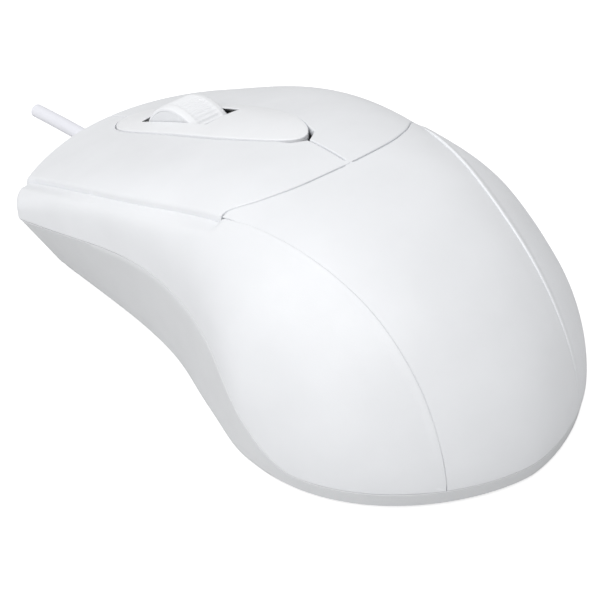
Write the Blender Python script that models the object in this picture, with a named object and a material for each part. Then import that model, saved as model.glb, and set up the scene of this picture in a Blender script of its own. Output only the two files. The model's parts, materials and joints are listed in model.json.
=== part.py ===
"""Corded optical computer mouse, one Blender object for each physical piece.

Metres, +Z up, +Y towards the cable, +X towards the right-hand side. The feet rest on z = 0.
A station is a distance forward from the heel of the body, and HEEL_Y puts the heel in world Y.
The outer skin is a row of rounded cross-sections: half_width, crest and parting give the width,
top and lower edge of the section at each station, and squareness says how boxy its shoulders are.
"""

import math

import bmesh
import bpy
import numpy as np
from mathutils import Matrix, Vector

# Whole body
HEEL_Y = -0.072
LAST_STATION = 0.1055
NOSE_BULGE = 0.0105
BULGE_START = 0.040
BROADEST_AT = 0.033
HIGHEST_AT = 0.046
HEEL_EDGE = 0.0036
HALF_WIDTHS = ((BROADEST_AT, 0.0317), (0.0445, 0.0291), (0.056, 0.0267), (0.070, 0.0268),
               (0.087, 0.0280), (LAST_STATION, 0.0287))
CREST_HEIGHTS = ((HIGHEST_AT, 0.0390), (0.058, 0.0379), (0.070, 0.0343), (0.087, 0.0268),
                 (LAST_STATION, 0.0155))
PARTING_HEIGHTS = ((0.022, HEEL_EDGE), (0.032, 0.0078), (0.0415, 0.0140), (0.054, 0.0175),
                   (0.068, 0.0187), (0.087, 0.0152), (LAST_STATION, 0.0104))
SHOULDER_SQUARENESS = ((0.0, 1.65), (0.019, 2.0), (0.037, 2.4), (0.052, 3.3), (0.070, 4.5),
                       (0.087, 5.0), (LAST_STATION, 5.4))
RIDGE_OFFSETS = ((0.010, 0.0145), (0.021, 0.0152), (0.037, 0.0183), (0.053, 0.0213), (0.070, 0.0244),
                 (0.087, 0.0251), (LAST_STATION, 0.0234))
CROWN_HEEL = 2.0
CROWN_GAIN = 0.8
WALL = 0.0016
SEAM = 0.00035
OVERSHOOT = 0.01
ABOVE_ALL = 0.05
BEYOND_NOSE = LAST_STATION + NOSE_BULGE + OVERSHOOT
SIDES = (-1, 1)
COLUMNS = 34
HEEL_ROWS = 11
FRONT_ROWS = 15

# Openings in the top
CROSS_SLIT_AT = 0.0433
CROSS_SLIT_SWEEP = 0.0072
CROSS_SLIT_REACH = 0.0209
CROSS_SLIT_BEND = 1.6
SLIT_STEPS = 22
BEZEL_TAIL = 0.0552
BEZEL_BROADEST_AT = 0.084
BEZEL_FRONT = 0.1086
BEZEL_HALF_WIDTH = 0.0071
BEZEL_PROUD = 0.0006
SLOT_HALF_WIDTH = 0.0047
SLOT_REAR = 0.0770
SLOT_FRONT = 0.0990
KEY_LIP_BOTTOM = 0.0130
KEY_DROP_GAP = 0.0009
BEZEL_SKIRT = 0.0138
SLOT_CORNER = 0.001

# Wheel and its cradle
WHEEL_AT = 0.0860
WHEEL_Z = 0.0195
WHEEL_RADIUS = 0.0115
WHEEL_HALF_WIDTH = 0.0038
TYRE_SHOULDER = 0.0014
TYRE_DEPTH = 0.0022
HUB_RADIUS = WHEEL_RADIUS - TYRE_DEPTH - 0.00005
AXLE_RADIUS = 0.0014
AXLE_LENGTH = 0.0164
RUNNING_GAP = 0.0003
LIGHT_SLOTS = 10
LIGHT_SLOT_SIZE = (0.02, 0.0030, 0.0018)
LIGHT_SLOT_OUT = 0.0056
CRADLE_ARM_X = 0.0064
CRADLE_ARM_THICK = 0.0014
CRADLE_PIVOT_AT = 0.064
CRADLE_PIVOT_Z = 0.0125
CRADLE_NOSE_AT = 0.1020
CRADLE_NOSE_BOTTOM = 0.0117
CRADLE_NOSE_SIZE = (0.0046, 0.0020)
CRADLE_REAR_SIZE = (0.0060, 0.0056)
CRADLE_ARM_HIGH = 0.0044
AXLE_CHEEK_SIZE = (0.0064, 0.0100)
AXLE_CHEEK_BELOW = 0.0020
PIN_RADIUS = 0.0008
PIN_LENGTH = 0.0205
EAR_THICK = 0.0014
EAR_LONG = 0.0050
EAR_GAP = 0.0005
SADDLE_SIZE = (0.0070, 0.0016)
SPRING_TURNS = 4
SPRING_STEPS = 14
SPRING_RADIUS = 0.0014
SPRING_WIRE = 0.00022
DETENT_X = 0.0049
DETENT_STEM_AT = 0.0725
DETENT_HIGH = 0.0094

# Base, board and what stands on it
BASE_BOTTOM = 0.0005
BASE_FLOOR_TOP = 0.0021
BASE_EDGE = 0.0008
BASE_ROOT = 0.0004
FLOOR_INSET = 0.0003
BORE_BOTTOM = 0.0023
BASE_TUCKS = ((BROADEST_AT, 0.0005), (0.043, 0.0001), (0.052, 0.0002), (0.060, 0.0016), (0.070, 0.0033),
              (0.085, 0.0047), (LAST_STATION, 0.0052))
TUCK_START = 0.045
PAD_TOP = BASE_BOTTOM - 0.00005
PAD_SIZE = (0.0110, 0.0056)
BOARD_BOTTOM = 0.0050
BOARD_TOP = 0.0066
BOARD_REAR = 0.030
BOARD_FRONT = 0.1035
BOARD_HALF_WIDTH = 0.0180
SEAT = BOARD_TOP + 0.00005
SWITCH_X = 0.0155
SWITCH_AT = 0.0925
SWITCH_TOP = 0.0131
PLUNGER_RISE = 0.0009
KEY_PIVOT_X = 0.0095
KEY_PIVOT_AT = 0.046
KEY_PIVOT_Z = 0.0340
TACT_X = -0.0022
TACT_TOP = 0.0107
SPRING_X = 0.0045
LENS_AT = 0.052
POST_AT = 0.040
POST_X = 0.0145
SCREW_AT = 0.022
SCREW_X = 0.0100
CUP_TOP = 0.0046
CUP_RADIUS = 0.0042
CUP_BORE = 0.0015
SCREW_WELL_RADIUS = 0.0029
SCREW_WELL_TOP = 0.0030
BOSS_RADIUS = 0.0028
BOSS_BORE = 0.0013
BOARD_POST_RADIUS = 0.0026
LENS_WINDOW = (0.0120, 0.0180)
CABLE_HOLE_RADIUS = 0.0024
BOARD_CUT = 0.005
SENSOR_OPENING = (0.0070, 0.0090)
KEY_POST = (0.0036, 0.0030)
KEY_LUG = (0.0050, 0.0024)
LUG_AHEAD = 0.0018
LUG_BELOW = 0.001
POST_CLEARANCE = 0.0001

# Bought-in parts on the board: size, then place where it is not given above
KEY_SWITCH_SIZE = (0.0058, 0.0128, SWITCH_TOP - SEAT)
TACT_SIZE = (0.0060, 0.0040, TACT_TOP - SEAT)
SWITCH_WELL = (0.0018, 0.0030, 0.0040)
PLUNGER_PLAN = (0.0013, 0.0024)
PLUNGER_ROOT = 0.0010
SENSOR_SIZE = (0.0100, 0.0130, 0.0024)
LENS_SIZE = (0.0112, 0.0172, 0.0022)
LENS_BARREL_RADIUS = 0.0024
LAMP_AT = 0.0400
LAMP_Z = SEAT + 0.0030
LAMP_RADIUS = 0.0015
LAMP_FLANGE_RADIUS = 0.0019
CLIP_SIZE = (0.0070, 0.0060, 0.0062)
CHIP_SIZE, CHIP_PLACE = (0.0075, 0.0100, 0.0018), (-0.0122, 0.0535)
CRYSTAL_SIZE, CRYSTAL_PLACE = (0.0045, 0.0105, 0.0033), (0.0125, 0.0570)
CAPACITOR_RADIUS, CAPACITOR_HIGH, CAPACITOR_PLACE = 0.0025, 0.0070, (0.0128, 0.0690)
ENCODER_SIZE, ENCODER_X, ENCODER_BACK = (0.0018, 0.0044, 0.0090), 0.0101, 0.0010
SOCKET_SIZE, SOCKET_PLACE = (0.0080, 0.0050, 0.0046), (-0.0135, 0.0760)
PLUG_SIZE = (0.0070, 0.0040, 0.0022)

# Cable
CABLE_RADIUS = 0.0014
CABLE_CORE_RADIUS = 0.0009
CABLE_Z = 0.0074
CABLE_END_AT = 0.144
CABLE_END_Z = 0.0042
CABLE_SAG_POWER = 1.6
JACKET_START = 0.1070
CORE_START = 0.1060
CABLE_STEPS = 10
FIT_GAP = 0.0001
SLEEVE_RADIUS = 0.0034
SLEEVE_LENGTH = 0.0020
SLEEVE_AT = 0.1085
LEAD_X = -0.0118
LEAD_AT = 0.1051

# Feet, label and screws
PAD_PLACES = {"front": (0.0125, 0.0970), "rear": (0.0130, 0.0130)}
LABEL_SIZE = (0.0300, 0.0120, 0.0001)
LABEL_AT = 0.0345
CASE_SCREW_RADIUS, CASE_SCREW_LENGTH, CASE_SCREW_Z = 0.0011, 0.0100, 0.0068
CASE_HEAD_RADIUS, CASE_HEAD_HIGH, CASE_HEAD_Z = 0.0026, 0.0012, 0.0020
BOARD_SCREW_RADIUS, BOARD_SCREW_LENGTH, BOARD_SCREW_Z = 0.0010, 0.0046, 0.0050
BOARD_HEAD_RADIUS, BOARD_HEAD_HIGH = 0.0022, 0.0010


# ---------------------------------------------------------------- curves and the skin

def smooth_curve(knots, flat_start=False):
    """A natural cubic spline through (station, value) knots; it is level at its start when asked."""
    xs, ys = (np.array(side, float) for side in zip(*knots))
    gaps = np.diff(xs)
    slopes = np.diff(ys) / gaps
    count = len(xs)
    system = np.eye(count)
    target = np.zeros(count)
    for i in range(1, count - 1):
        system[i, i - 1:i + 2] = gaps[i - 1], 2 * (gaps[i - 1] + gaps[i]), gaps[i]
        target[i] = 6 * (slopes[i] - slopes[i - 1])
    if flat_start:
        system[0, :2] = 2 * gaps[0], gaps[0]
        target[0] = 6 * slopes[0]
    bends = np.linalg.solve(system, target)

    def value(x):
        x = np.clip(np.asarray(x, float), xs[0], xs[-1])
        i = np.clip(np.searchsorted(xs, x) - 1, 0, count - 2)
        a = (xs[i + 1] - x) / gaps[i]
        b = 1 - a
        bent = (a**3 - a) * bends[i] + (b**3 - b) * bends[i + 1]
        return a * ys[i] + b * ys[i + 1] + bent * gaps[i]**2 / 6

    return value


def rounded_rise(share, outer, inner):
    """From 0 at share 1 up to 1 at share 0, along a superellipse."""
    return np.clip(1 - np.clip(share, 0, 1)**outer, 0, None)**(1 / inner)


forward_half_width = smooth_curve(HALF_WIDTHS, flat_start=True)
forward_crest = smooth_curve(CREST_HEIGHTS, flat_start=True)
forward_parting = smooth_curve(PARTING_HEIGHTS, flat_start=True)
shoulder_squareness = smooth_curve(SHOULDER_SQUARENESS)
ridge_offset = smooth_curve(RIDGE_OFFSETS)
base_tuck = smooth_curve(BASE_TUCKS)


def half_width(station):
    heel = HALF_WIDTHS[0][1] * rounded_rise((BROADEST_AT - station) / BROADEST_AT, 2.2, 1.65)
    return np.where(station < BROADEST_AT, heel, forward_half_width(station))


def crest(station):
    rise = CREST_HEIGHTS[0][1] - HEEL_EDGE
    heel = HEEL_EDGE + rise * rounded_rise((HIGHEST_AT - station) / HIGHEST_AT, 2.25, 1.68)
    return np.where(station < HIGHEST_AT, heel, forward_crest(station))


def parting(station):
    """Height of the line where the upper shells meet the base."""
    return forward_parting(station)


def nose_bulge(station, across):
    """How far a section's middle runs ahead of its sides."""
    run = np.clip((station - BULGE_START) / (LAST_STATION - BULGE_START), 0, None)
    return NOSE_BULGE * run**4 * (1 - across**2)


def section(station, count):
    """count + 1 even skin points along the section, from the right parting edge to the left one."""
    crown = CROWN_HEEL + CROWN_GAIN * station / LAST_STATION
    angle = np.linspace(0, math.pi, 721)
    across = np.sign(np.cos(angle)) * np.abs(np.cos(angle))**(2 / crown)
    up = np.abs(np.sin(angle))**(2 / shoulder_squareness(station))
    low = parting(station)
    x = half_width(station) * across
    y = station + nose_bulge(station, across)
    z = low + (crest(station) - low) * up
    points = np.stack([x, y, z], axis=-1)
    along = np.concatenate([[0], np.cumsum(np.linalg.norm(np.diff(points, axis=0), axis=1))])
    even = np.linspace(0, along[-1], count + 1)
    return np.stack([np.interp(even, along, points[:, k]) for k in range(3)], axis=-1)


def stations():
    """Section places: close together round the heel, even further forward."""
    heel = BROADEST_AT * (1 - np.cos(np.linspace(0.0, math.pi / 2, HEEL_ROWS)))
    front = np.linspace(BROADEST_AT, LAST_STATION, FRONT_ROWS)
    return np.concatenate([heel, front[1:]])


def skin_grid():
    rows = [section(max(station, 1e-6), COLUMNS) for station in stations()]
    grid = np.array(rows)
    grid[0] = (0, 0, HEEL_EDGE)
    return grid


def skin_height(x, station):
    """Height of the skin above a point of the plan, found by walking back along the nose bulge."""
    home = station
    for _ in range(12):
        across = min(abs(x) / float(half_width(home)), 1.0)
        home = station - float(nose_bulge(home, across))
    crown = CROWN_HEEL + CROWN_GAIN * home / LAST_STATION
    low = float(parting(home))
    return low + (float(crest(home)) - low) * (1 - across**crown)**(1 / float(shoulder_squareness(home)))


# ---------------------------------------------------------------- meshes, cutters and materials

def clear_scene():
    for thing in list(bpy.data.objects):
        bpy.data.objects.remove(thing)


def plastic(name, colour, roughness=0.45, metallic=0.0):
    material = bpy.data.materials.new(name)
    material.use_nodes = True
    shader = material.node_tree.nodes["Principled BSDF"]
    shader.inputs["Base Color"].default_value = (*colour, 1.0)
    shader.inputs["Roughness"].default_value = roughness
    shader.inputs["Metallic"].default_value = metallic
    return material


def object_from(name, bm, material=None, pivot=(0, 0, 0)):
    """Turns a bmesh given in stations into an object whose origin is at pivot, also in stations."""
    bmesh.ops.remove_doubles(bm, verts=bm.verts, dist=1e-7)
    bmesh.ops.dissolve_degenerate(bm, edges=bm.edges, dist=1e-8)
    bmesh.ops.recalc_face_normals(bm, faces=bm.faces)
    bmesh.ops.translate(bm, verts=bm.verts, vec=-Vector(pivot))
    mesh = bpy.data.meshes.new(name)
    bm.to_mesh(mesh)
    bm.free()
    thing = bpy.data.objects.new(name, mesh)
    thing.location = Vector(pivot) + Vector((0, HEEL_Y, 0))
    bpy.context.scene.collection.objects.link(thing)
    if material:
        mesh.materials.append(material)
    return thing


def closed_between(top, floor):
    """A bmesh closed between two grids of the same shape, the first row of each being one point."""
    bm = bmesh.new()
    sheets = [[[bm.verts.new(p) for p in row] for row in grid] for grid in (top, floor)]
    upper, lower = sheets
    rows, columns = len(top), len(top[0])
    for i in range(rows - 1):
        for j in range(columns - 1):
            bm.faces.new((upper[i][j], upper[i][j + 1], upper[i + 1][j + 1], upper[i + 1][j]))
            bm.faces.new((lower[i][j], lower[i + 1][j], lower[i + 1][j + 1], lower[i][j + 1]))
        for j in (0, columns - 1):
            bm.faces.new((upper[i][j], upper[i + 1][j], lower[i + 1][j], lower[i][j]))
    for j in range(columns - 1):
        bm.faces.new((upper[-1][j], upper[-1][j + 1], lower[-1][j + 1], lower[-1][j]))
    return bm


def outer_dome(name, material=None, pivot=(0, 0, 0), raised=0.0):
    """The whole solid under the skin, down to the parting line."""
    top = skin_grid()
    floor = top.copy()
    floor[..., 2] = [parting(np.full(len(row), station)) for station, row in zip(stations(), top)]
    top[1:, 1:-1, 2] += raised
    return object_from(name, closed_between(top.tolist(), floor.tolist()), material, pivot)


def inner_dome(name, wall=WALL):
    """The hollow: the skin lowered and drawn in by the wall, and run out below the parting line."""
    top = skin_grid()
    longest = LAST_STATION + NOSE_BULGE
    top[..., 0] *= 1 - wall / HALF_WIDTHS[0][1]
    top[..., 1] = wall + top[..., 1] * (1 - 2 * wall / longest)
    top[..., 2] -= wall
    floor = top.copy()
    floor[..., 2] = -OVERSHOOT
    return helper(object_from(name, closed_between(top.tolist(), floor.tolist())))


def helper(thing):
    thing.hide_render = True
    thing.display_type = "WIRE"
    return thing


def prism(outline, low, high):
    """A solid with vertical sides over a plan outline of (x, station) points."""
    bm = bmesh.new()
    ring = [bm.verts.new((x, station, low)) for x, station in outline]
    face = bm.faces.new(ring)
    lifted = bmesh.ops.extrude_face_region(bm, geom=[face])["geom"]
    ends = [v for v in lifted if isinstance(v, bmesh.types.BMVert)]
    bmesh.ops.translate(bm, verts=ends, vec=(0, 0, high - low))
    return bm


def block(size, centre, bevel=0.0):
    bm = bmesh.new()
    bmesh.ops.create_cube(bm, size=1.0, matrix=Matrix.Translation(centre) @ Matrix.Diagonal((*size, 1.0)))
    if bevel:
        bmesh.ops.bevel(bm, geom=bm.edges[:], offset=bevel, segments=2, affect="EDGES", profile=0.5)
    return bm


def upright(plan, x, station, low, high, bevel=0.0):
    """A block given by its plan size, its place and its bottom and top."""
    return block((*plan, high - low), (x, station, (low + high) / 2), bevel)


def rod(radius, length, centre, axis="Z", sides=24):
    """A cylinder centred on a point."""
    quarter = math.pi / 2
    turns = {"X": Matrix.Rotation(quarter, 4, "Y"), "Y": Matrix.Rotation(-quarter, 4, "X"), "Z": Matrix()}
    bm = bmesh.new()
    bmesh.ops.create_cone(bm, cap_ends=True, segments=sides, radius1=radius, radius2=radius, depth=length,
                          matrix=Matrix.Translation(centre) @ turns[axis])
    return bm


def combine(thing, operation, shapes):
    """Adds a Boolean of the given kind for each helper object or bmesh."""
    for number, shape in enumerate(shapes):
        if isinstance(shape, bmesh.types.BMesh):
            shape = helper(object_from(f"{thing.name}_{operation.lower()}_{number}", shape))
        modifier = thing.modifiers.new(f"{operation.title()} {number}", "BOOLEAN")
        modifier.operation = operation
        modifier.object = shape
        modifier.solver = "EXACT"
    return thing


def rounded(thing, angle=35):
    thing.data.shade_smooth()
    thing.data.set_sharp_from_angle(angle=math.radians(angle))
    return thing


# ---------------------------------------------------------------- plan outlines

def bezel_half_width(station, grow):
    """Half width of the wheel bezel's egg-shaped plan, grown all round by the given amount."""
    wide = BEZEL_HALF_WIDTH + grow
    if station < BEZEL_BROADEST_AT:
        reach = BEZEL_BROADEST_AT - BEZEL_TAIL + grow
        return wide * float(rounded_rise(np.float64((BEZEL_BROADEST_AT - station) / reach), 2.4, 1.9))
    reach = BEZEL_FRONT - BEZEL_BROADEST_AT + grow
    return wide * float(rounded_rise(np.float64((station - BEZEL_BROADEST_AT) / reach), 4.5, 2.0))


def bezel_side(grow, count=24):
    """Points up the right side of the egg from its tail to its front."""
    rear, front = BEZEL_TAIL - grow, BEZEL_FRONT + grow
    spread = 0.5 - 0.5 * np.cos(np.linspace(0, math.pi, count + 1))
    places = rear + (front - rear) * spread[1:-1]
    return [(0.0, rear), *[(bezel_half_width(y, grow), y) for y in places], (0.0, front)]


def ridge_side(first, last, inset, count):
    return [(float(ridge_offset(y)) - inset, y) for y in np.linspace(first, last, count)]


def cross_slit(x):
    """Station of the S-shaped slit behind the keys."""
    share = min(abs(x) / CROSS_SLIT_REACH, 1.0)
    return CROSS_SLIT_AT + CROSS_SLIT_SWEEP * math.sin(math.pi / 2 * share**CROSS_SLIT_BEND)**2


def key_outline(side):
    """Plan of one key: cross slit, ridge, nose, then back along the split and the bezel's cut-out."""
    half = SEAM / 2
    corner = float(ridge_offset(cross_slit(CROSS_SLIT_REACH))) - half
    slit = [(x, cross_slit(x) + half) for x in np.linspace(half, corner, SLIT_STEPS)]
    ridge = ridge_side(cross_slit(corner) + half, LAST_STATION, half, 12)[1:]
    nose = [(ridge[-1][0], BEYOND_NOSE), (half, BEYOND_NOSE)]
    egg = [(x, y) for x, y in reversed(bezel_side(SEAM)) if x > half]
    bezel = [(half, egg[0][1] + half), *egg, (half, egg[-1][1] - half)]
    return [(side * x, y) for x, y in slit + ridge + nose + bezel]


def palm_outline(grow):
    """Plan of the palm cover, running out behind the heel."""
    half = SEAM / 2 - grow
    corner = float(ridge_offset(cross_slit(CROSS_SLIT_REACH))) - half
    slit = [(x, cross_slit(x) - half) for x in np.linspace(0, corner, SLIT_STEPS)]
    ridge = list(reversed(ridge_side(0.0, cross_slit(corner) - half, half, 11)))[1:]
    heel = [(ridge[-1][0], -OVERSHOOT)]
    right = slit + ridge + heel
    return right + [(-x, y) for x, y in reversed(right) if x > 0]


def top_outline():
    """Plan of everything between the ridges ahead of the heel, to clear it out of the side shell."""
    right = ridge_side(CROSS_SLIT_AT, LAST_STATION, -SEAM / 2, 14)
    right.append((right[-1][0], BEYOND_NOSE))
    return right + [(-x, y) for x, y in reversed(right)]


# ---------------------------------------------------------------- outer shells

def key(name, side, material, hollow):
    """One finger key: a plate of the skin with a nose lip, a post over its switch and a hinge lug."""
    pivot = (side * KEY_PIVOT_X, KEY_PIVOT_AT, KEY_PIVOT_Z)
    thing = outer_dome(name, material, pivot)
    combine(thing, "DIFFERENCE", [hollow])
    combine(thing, "INTERSECT", [prism(key_outline(side), KEY_LIP_BOTTOM, ABOVE_ALL)])
    post_low = SWITCH_TOP + PLUNGER_RISE + POST_CLEARANCE
    post_high = skin_height(SWITCH_X, SWITCH_AT) - WALL / 2
    post = upright(KEY_POST, side * SWITCH_X, SWITCH_AT, post_low, post_high)
    lug_at = KEY_PIVOT_AT + LUG_AHEAD
    lug_high = skin_height(KEY_PIVOT_X, lug_at) - WALL / 2
    lug = upright(KEY_LUG, side * KEY_PIVOT_X, lug_at, KEY_PIVOT_Z - LUG_BELOW, lug_high)
    combine(thing, "UNION", [post, lug])
    return rounded(thing)


def palm_cover(material, hollow):
    """The fixed hump behind the keys, with a boss for each case screw."""
    thing = outer_dome("palm_cover", material)
    combine(thing, "DIFFERENCE", [hollow])
    combine(thing, "INTERSECT", [prism(palm_outline(0.0), -OVERSHOOT, ABOVE_ALL)])
    high = skin_height(SCREW_X, SCREW_AT) - WALL
    low = CUP_TOP + SEAM
    bosses = [rod(BOSS_RADIUS, high - low, (side * SCREW_X, SCREW_AT, (high + low) / 2)) for side in SIDES]
    combine(thing, "UNION", bosses)
    bores = [rod(BOSS_BORE, 0.024, (side * SCREW_X, SCREW_AT, 0.0034)) for side in SIDES]
    combine(thing, "DIFFERENCE", bores)
    return rounded(thing)


def side_shell(material, hollow):
    """Both flanks and the band round the nose, in one U-shaped piece."""
    thing = outer_dome("side_shell", material)
    cutters = [hollow, prism(palm_outline(SEAM), -OVERSHOOT, ABOVE_ALL),
               prism(top_outline(), KEY_LIP_BOTTOM - KEY_DROP_GAP, ABOVE_ALL)]
    combine(thing, "DIFFERENCE", cutters)
    return rounded(thing)


def wheel_bezel(material, hollow):
    """The egg-shaped island round the wheel, a little proud of the keys, with the wheel's slot in it."""
    thing = outer_dome("wheel_bezel", material, raised=BEZEL_PROUD)
    right = bezel_side(0.0)
    outline = right + [(-x, y) for x, y in reversed(right) if x > 0]
    combine(thing, "DIFFERENCE", [hollow])
    combine(thing, "INTERSECT", [prism(outline, BEZEL_SKIRT, ABOVE_ALL)])
    length = SLOT_FRONT - SLOT_REAR
    middle = (SLOT_FRONT + SLOT_REAR) / 2
    slot = upright((2 * SLOT_HALF_WIDTH, length), 0, middle, 0.0, ABOVE_ALL, SLOT_CORNER)
    combine(thing, "DIFFERENCE", [slot])
    return rounded(thing)


def base_ring(drop, inset, lift=0.0):
    """One closed loop of the base: drop runs from 0 at the parting line to 1 at the bottom."""
    places = stations()[1:]
    nose_share = np.clip((places - TUCK_START) / (LAST_STATION - TUCK_START), 0, 1)**2
    heel_share = np.clip(1 - places / BROADEST_AT, 0, 1)
    curl = inset + base_tuck(places) * drop
    x = half_width(places) - curl * np.sqrt(1 - heel_share**2)
    y = places + curl * (heel_share - nose_share)
    low = parting(places) - SEAM
    z = low + (BASE_BOTTOM + lift - low) * drop
    right = list(zip(x, y, z))
    shares = np.linspace(1, -1, 13)[1:-1]
    front = [(x[-1] * share, y[-1] + nose_bulge(LAST_STATION, share), z[-1]) for share in shares]
    left = [(-px, py, pz) for px, py, pz in reversed(right)]
    return [(0.0, curl[0], z[0])] + right + front + left


def base_case(material):
    """The tub: a wall that arches up each side and leans in under the nose, a floor, and its openings."""
    outer = [base_ring(drop, 0.0) for drop in (0.0, 0.3, 0.6, 0.85)]
    outer.append(base_ring(1.0, BASE_EDGE))
    lift = BASE_FLOOR_TOP - BASE_BOTTOM
    inner = [base_ring(drop, WALL + FLOOR_INSET, lift) for drop in (1.0, 0.6, 0.3)]
    inner.append(base_ring(0.0, WALL))
    thing = object_from("base_case", ringed(outer, inner), material)
    combine(thing, "UNION", base_posts())
    return rounded(combine(thing, "DIFFERENCE", base_holes()))


def ringed(outer, inner):
    """A tub closed by its first inner loop and last outer loop, with its rim between the other two ends."""
    bm = bmesh.new()
    loops = [[bm.verts.new(p) for p in ring] for ring in outer + inner]
    floor = len(outer)
    pairs = [(loops[i], loops[i + 1]) for i in range(len(loops) - 1) if i != floor - 1]
    for first, second in pairs + [(loops[-1], loops[0])]:
        for k in range(len(first)):
            n = (k + 1) % len(first)
            bm.faces.new((first[k], first[n], second[n], second[k]))
    bm.faces.new(loops[floor - 1])
    bm.faces.new(loops[floor])
    return bm


def standing_rod(radius, x, station, low, high, sides=20):
    return rod(radius, high - low, (x, station, (low + high) / 2), sides=sides)


def base_posts():
    low = BASE_FLOOR_TOP - BASE_ROOT
    high = BOARD_BOTTOM - SEAM
    posts = [standing_rod(BOARD_POST_RADIUS, side * POST_X, POST_AT, low, high) for side in SIDES]
    cups = [standing_rod(CUP_RADIUS, side * SCREW_X, SCREW_AT, low, CUP_TOP, 24) for side in SIDES]
    return posts + cups


def base_holes():
    """Screw holes and wells, board screw bores, the sensor's window and the cable's notch in the rim."""
    holes = [standing_rod(CUP_BORE, side * SCREW_X, SCREW_AT, -OVERSHOOT, OVERSHOOT, 16) for side in SIDES]
    holes += [standing_rod(SCREW_WELL_RADIUS, side * SCREW_X, SCREW_AT, -OVERSHOOT, SCREW_WELL_TOP, 24)
              for side in SIDES]
    holes += [standing_rod(BOSS_BORE, side * POST_X, POST_AT, BORE_BOTTOM, OVERSHOOT, 16) for side in SIDES]
    holes.append(upright(LENS_WINDOW, 0, LENS_AT, -OVERSHOOT / 2, OVERSHOOT, 0.001))
    exit_at = LAST_STATION + 0.006
    holes.append(rod(CABLE_HOLE_RADIUS, 2 * OVERSHOOT, (0, exit_at, CABLE_Z), "Y"))
    holes.append(upright((2 * CABLE_HOLE_RADIUS, 2 * OVERSHOOT), 0, exit_at, CABLE_Z, CABLE_Z + OVERSHOOT))
    return holes


# ---------------------------------------------------------------- wheel and cradle

def turned(profile, sides, centre):
    """A ring or wheel about X: profile points are (x, radius), going round once."""
    bm = bmesh.new()
    rings = []
    for i in range(sides):
        angle = 2 * math.pi * i / sides
        y, z = math.cos(angle), math.sin(angle)
        at = [(centre[0] + x, centre[1] + r * y, centre[2] + r * z) for x, r in profile]
        rings.append([bm.verts.new(place) for place in at])
    for i in range(sides):
        first, second = rings[i], rings[(i + 1) % sides]
        for k in range(len(profile)):
            n = (k + 1) % len(profile)
            bm.faces.new((first[k], first[n], second[n], second[k]))
    return bm


def wheel_tyre(material):
    """Rubber tread with rounded shoulders."""
    wide, top, low = WHEEL_HALF_WIDTH, WHEEL_RADIUS, WHEEL_RADIUS - TYRE_DEPTH
    right = [(wide - TYRE_SHOULDER, top), (wide - 0.35 * TYRE_SHOULDER, top - 0.3 * TYRE_SHOULDER),
             (wide, top - 0.85 * TYRE_SHOULDER), (wide, low)]
    profile = [(-x, radius) for x, radius in reversed(right)] + right
    centre = (0, WHEEL_AT, WHEEL_Z)
    return rounded(object_from("wheel_tyre", turned(profile, 40, centre), material, centre))


def wheel_hub(material):
    """Plastic hub with axle stubs and a ring of slots that chop the encoder's light."""
    centre = (0, WHEEL_AT, WHEEL_Z)
    drum = rod(HUB_RADIUS, 2 * WHEEL_HALF_WIDTH - 0.0006, centre, "X", 40)
    thing = object_from("wheel_hub", drum, material, centre)
    combine(thing, "UNION", [rod(AXLE_RADIUS, AXLE_LENGTH, centre, "X", 20)])
    slots = []
    for i in range(LIGHT_SLOTS):
        turn = Matrix.Rotation(2 * math.pi * i / LIGHT_SLOTS, 3, "X")
        slot = block(LIGHT_SLOT_SIZE, (0, LIGHT_SLOT_OUT, 0))
        bmesh.ops.rotate(slot, verts=slot.verts, cent=(0, 0, 0), matrix=turn)
        bmesh.ops.translate(slot, verts=slot.verts, vec=centre)
        slots.append(slot)
    return rounded(combine(thing, "DIFFERENCE", slots))


def wheel_cradle(material):
    """A rocking frame: two arms for the axle, a rear crossbar on the pivot, a front bar over the switch."""
    pivot = (0, CRADLE_PIVOT_AT, CRADLE_PIVOT_Z)
    across = 2 * (CRADLE_ARM_X + CRADLE_ARM_THICK)
    thing = object_from("wheel_cradle", block((across, *CRADLE_REAR_SIZE), pivot), material, pivot)
    nose_long, nose_high = CRADLE_NOSE_SIZE
    reach = CRADLE_NOSE_AT + nose_long / 3 - CRADLE_PIVOT_AT
    low = CRADLE_NOSE_BOTTOM
    cheek_long, cheek_high = AXLE_CHEEK_SIZE
    bars = [upright((across, nose_long), 0, CRADLE_NOSE_AT, low, low + nose_high)]
    for side in SIDES:
        x = side * (CRADLE_ARM_X + CRADLE_ARM_THICK / 2)
        arm_at = CRADLE_PIVOT_AT + reach / 2
        bars.append(upright((CRADLE_ARM_THICK, reach), x, arm_at, low, low + CRADLE_ARM_HIGH))
        cheek = (CRADLE_ARM_THICK, cheek_long, cheek_high)
        bars.append(block(cheek, (x, WHEEL_AT, WHEEL_Z - AXLE_CHEEK_BELOW)))
    combine(thing, "UNION", bars)
    holes = [rod(AXLE_RADIUS + RUNNING_GAP, 0.03, (0, WHEEL_AT, WHEEL_Z), "X", 20),
             rod(PIN_RADIUS + RUNNING_GAP, 0.03, pivot, "X", 16)]
    return combine(thing, "DIFFERENCE", holes)


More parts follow.
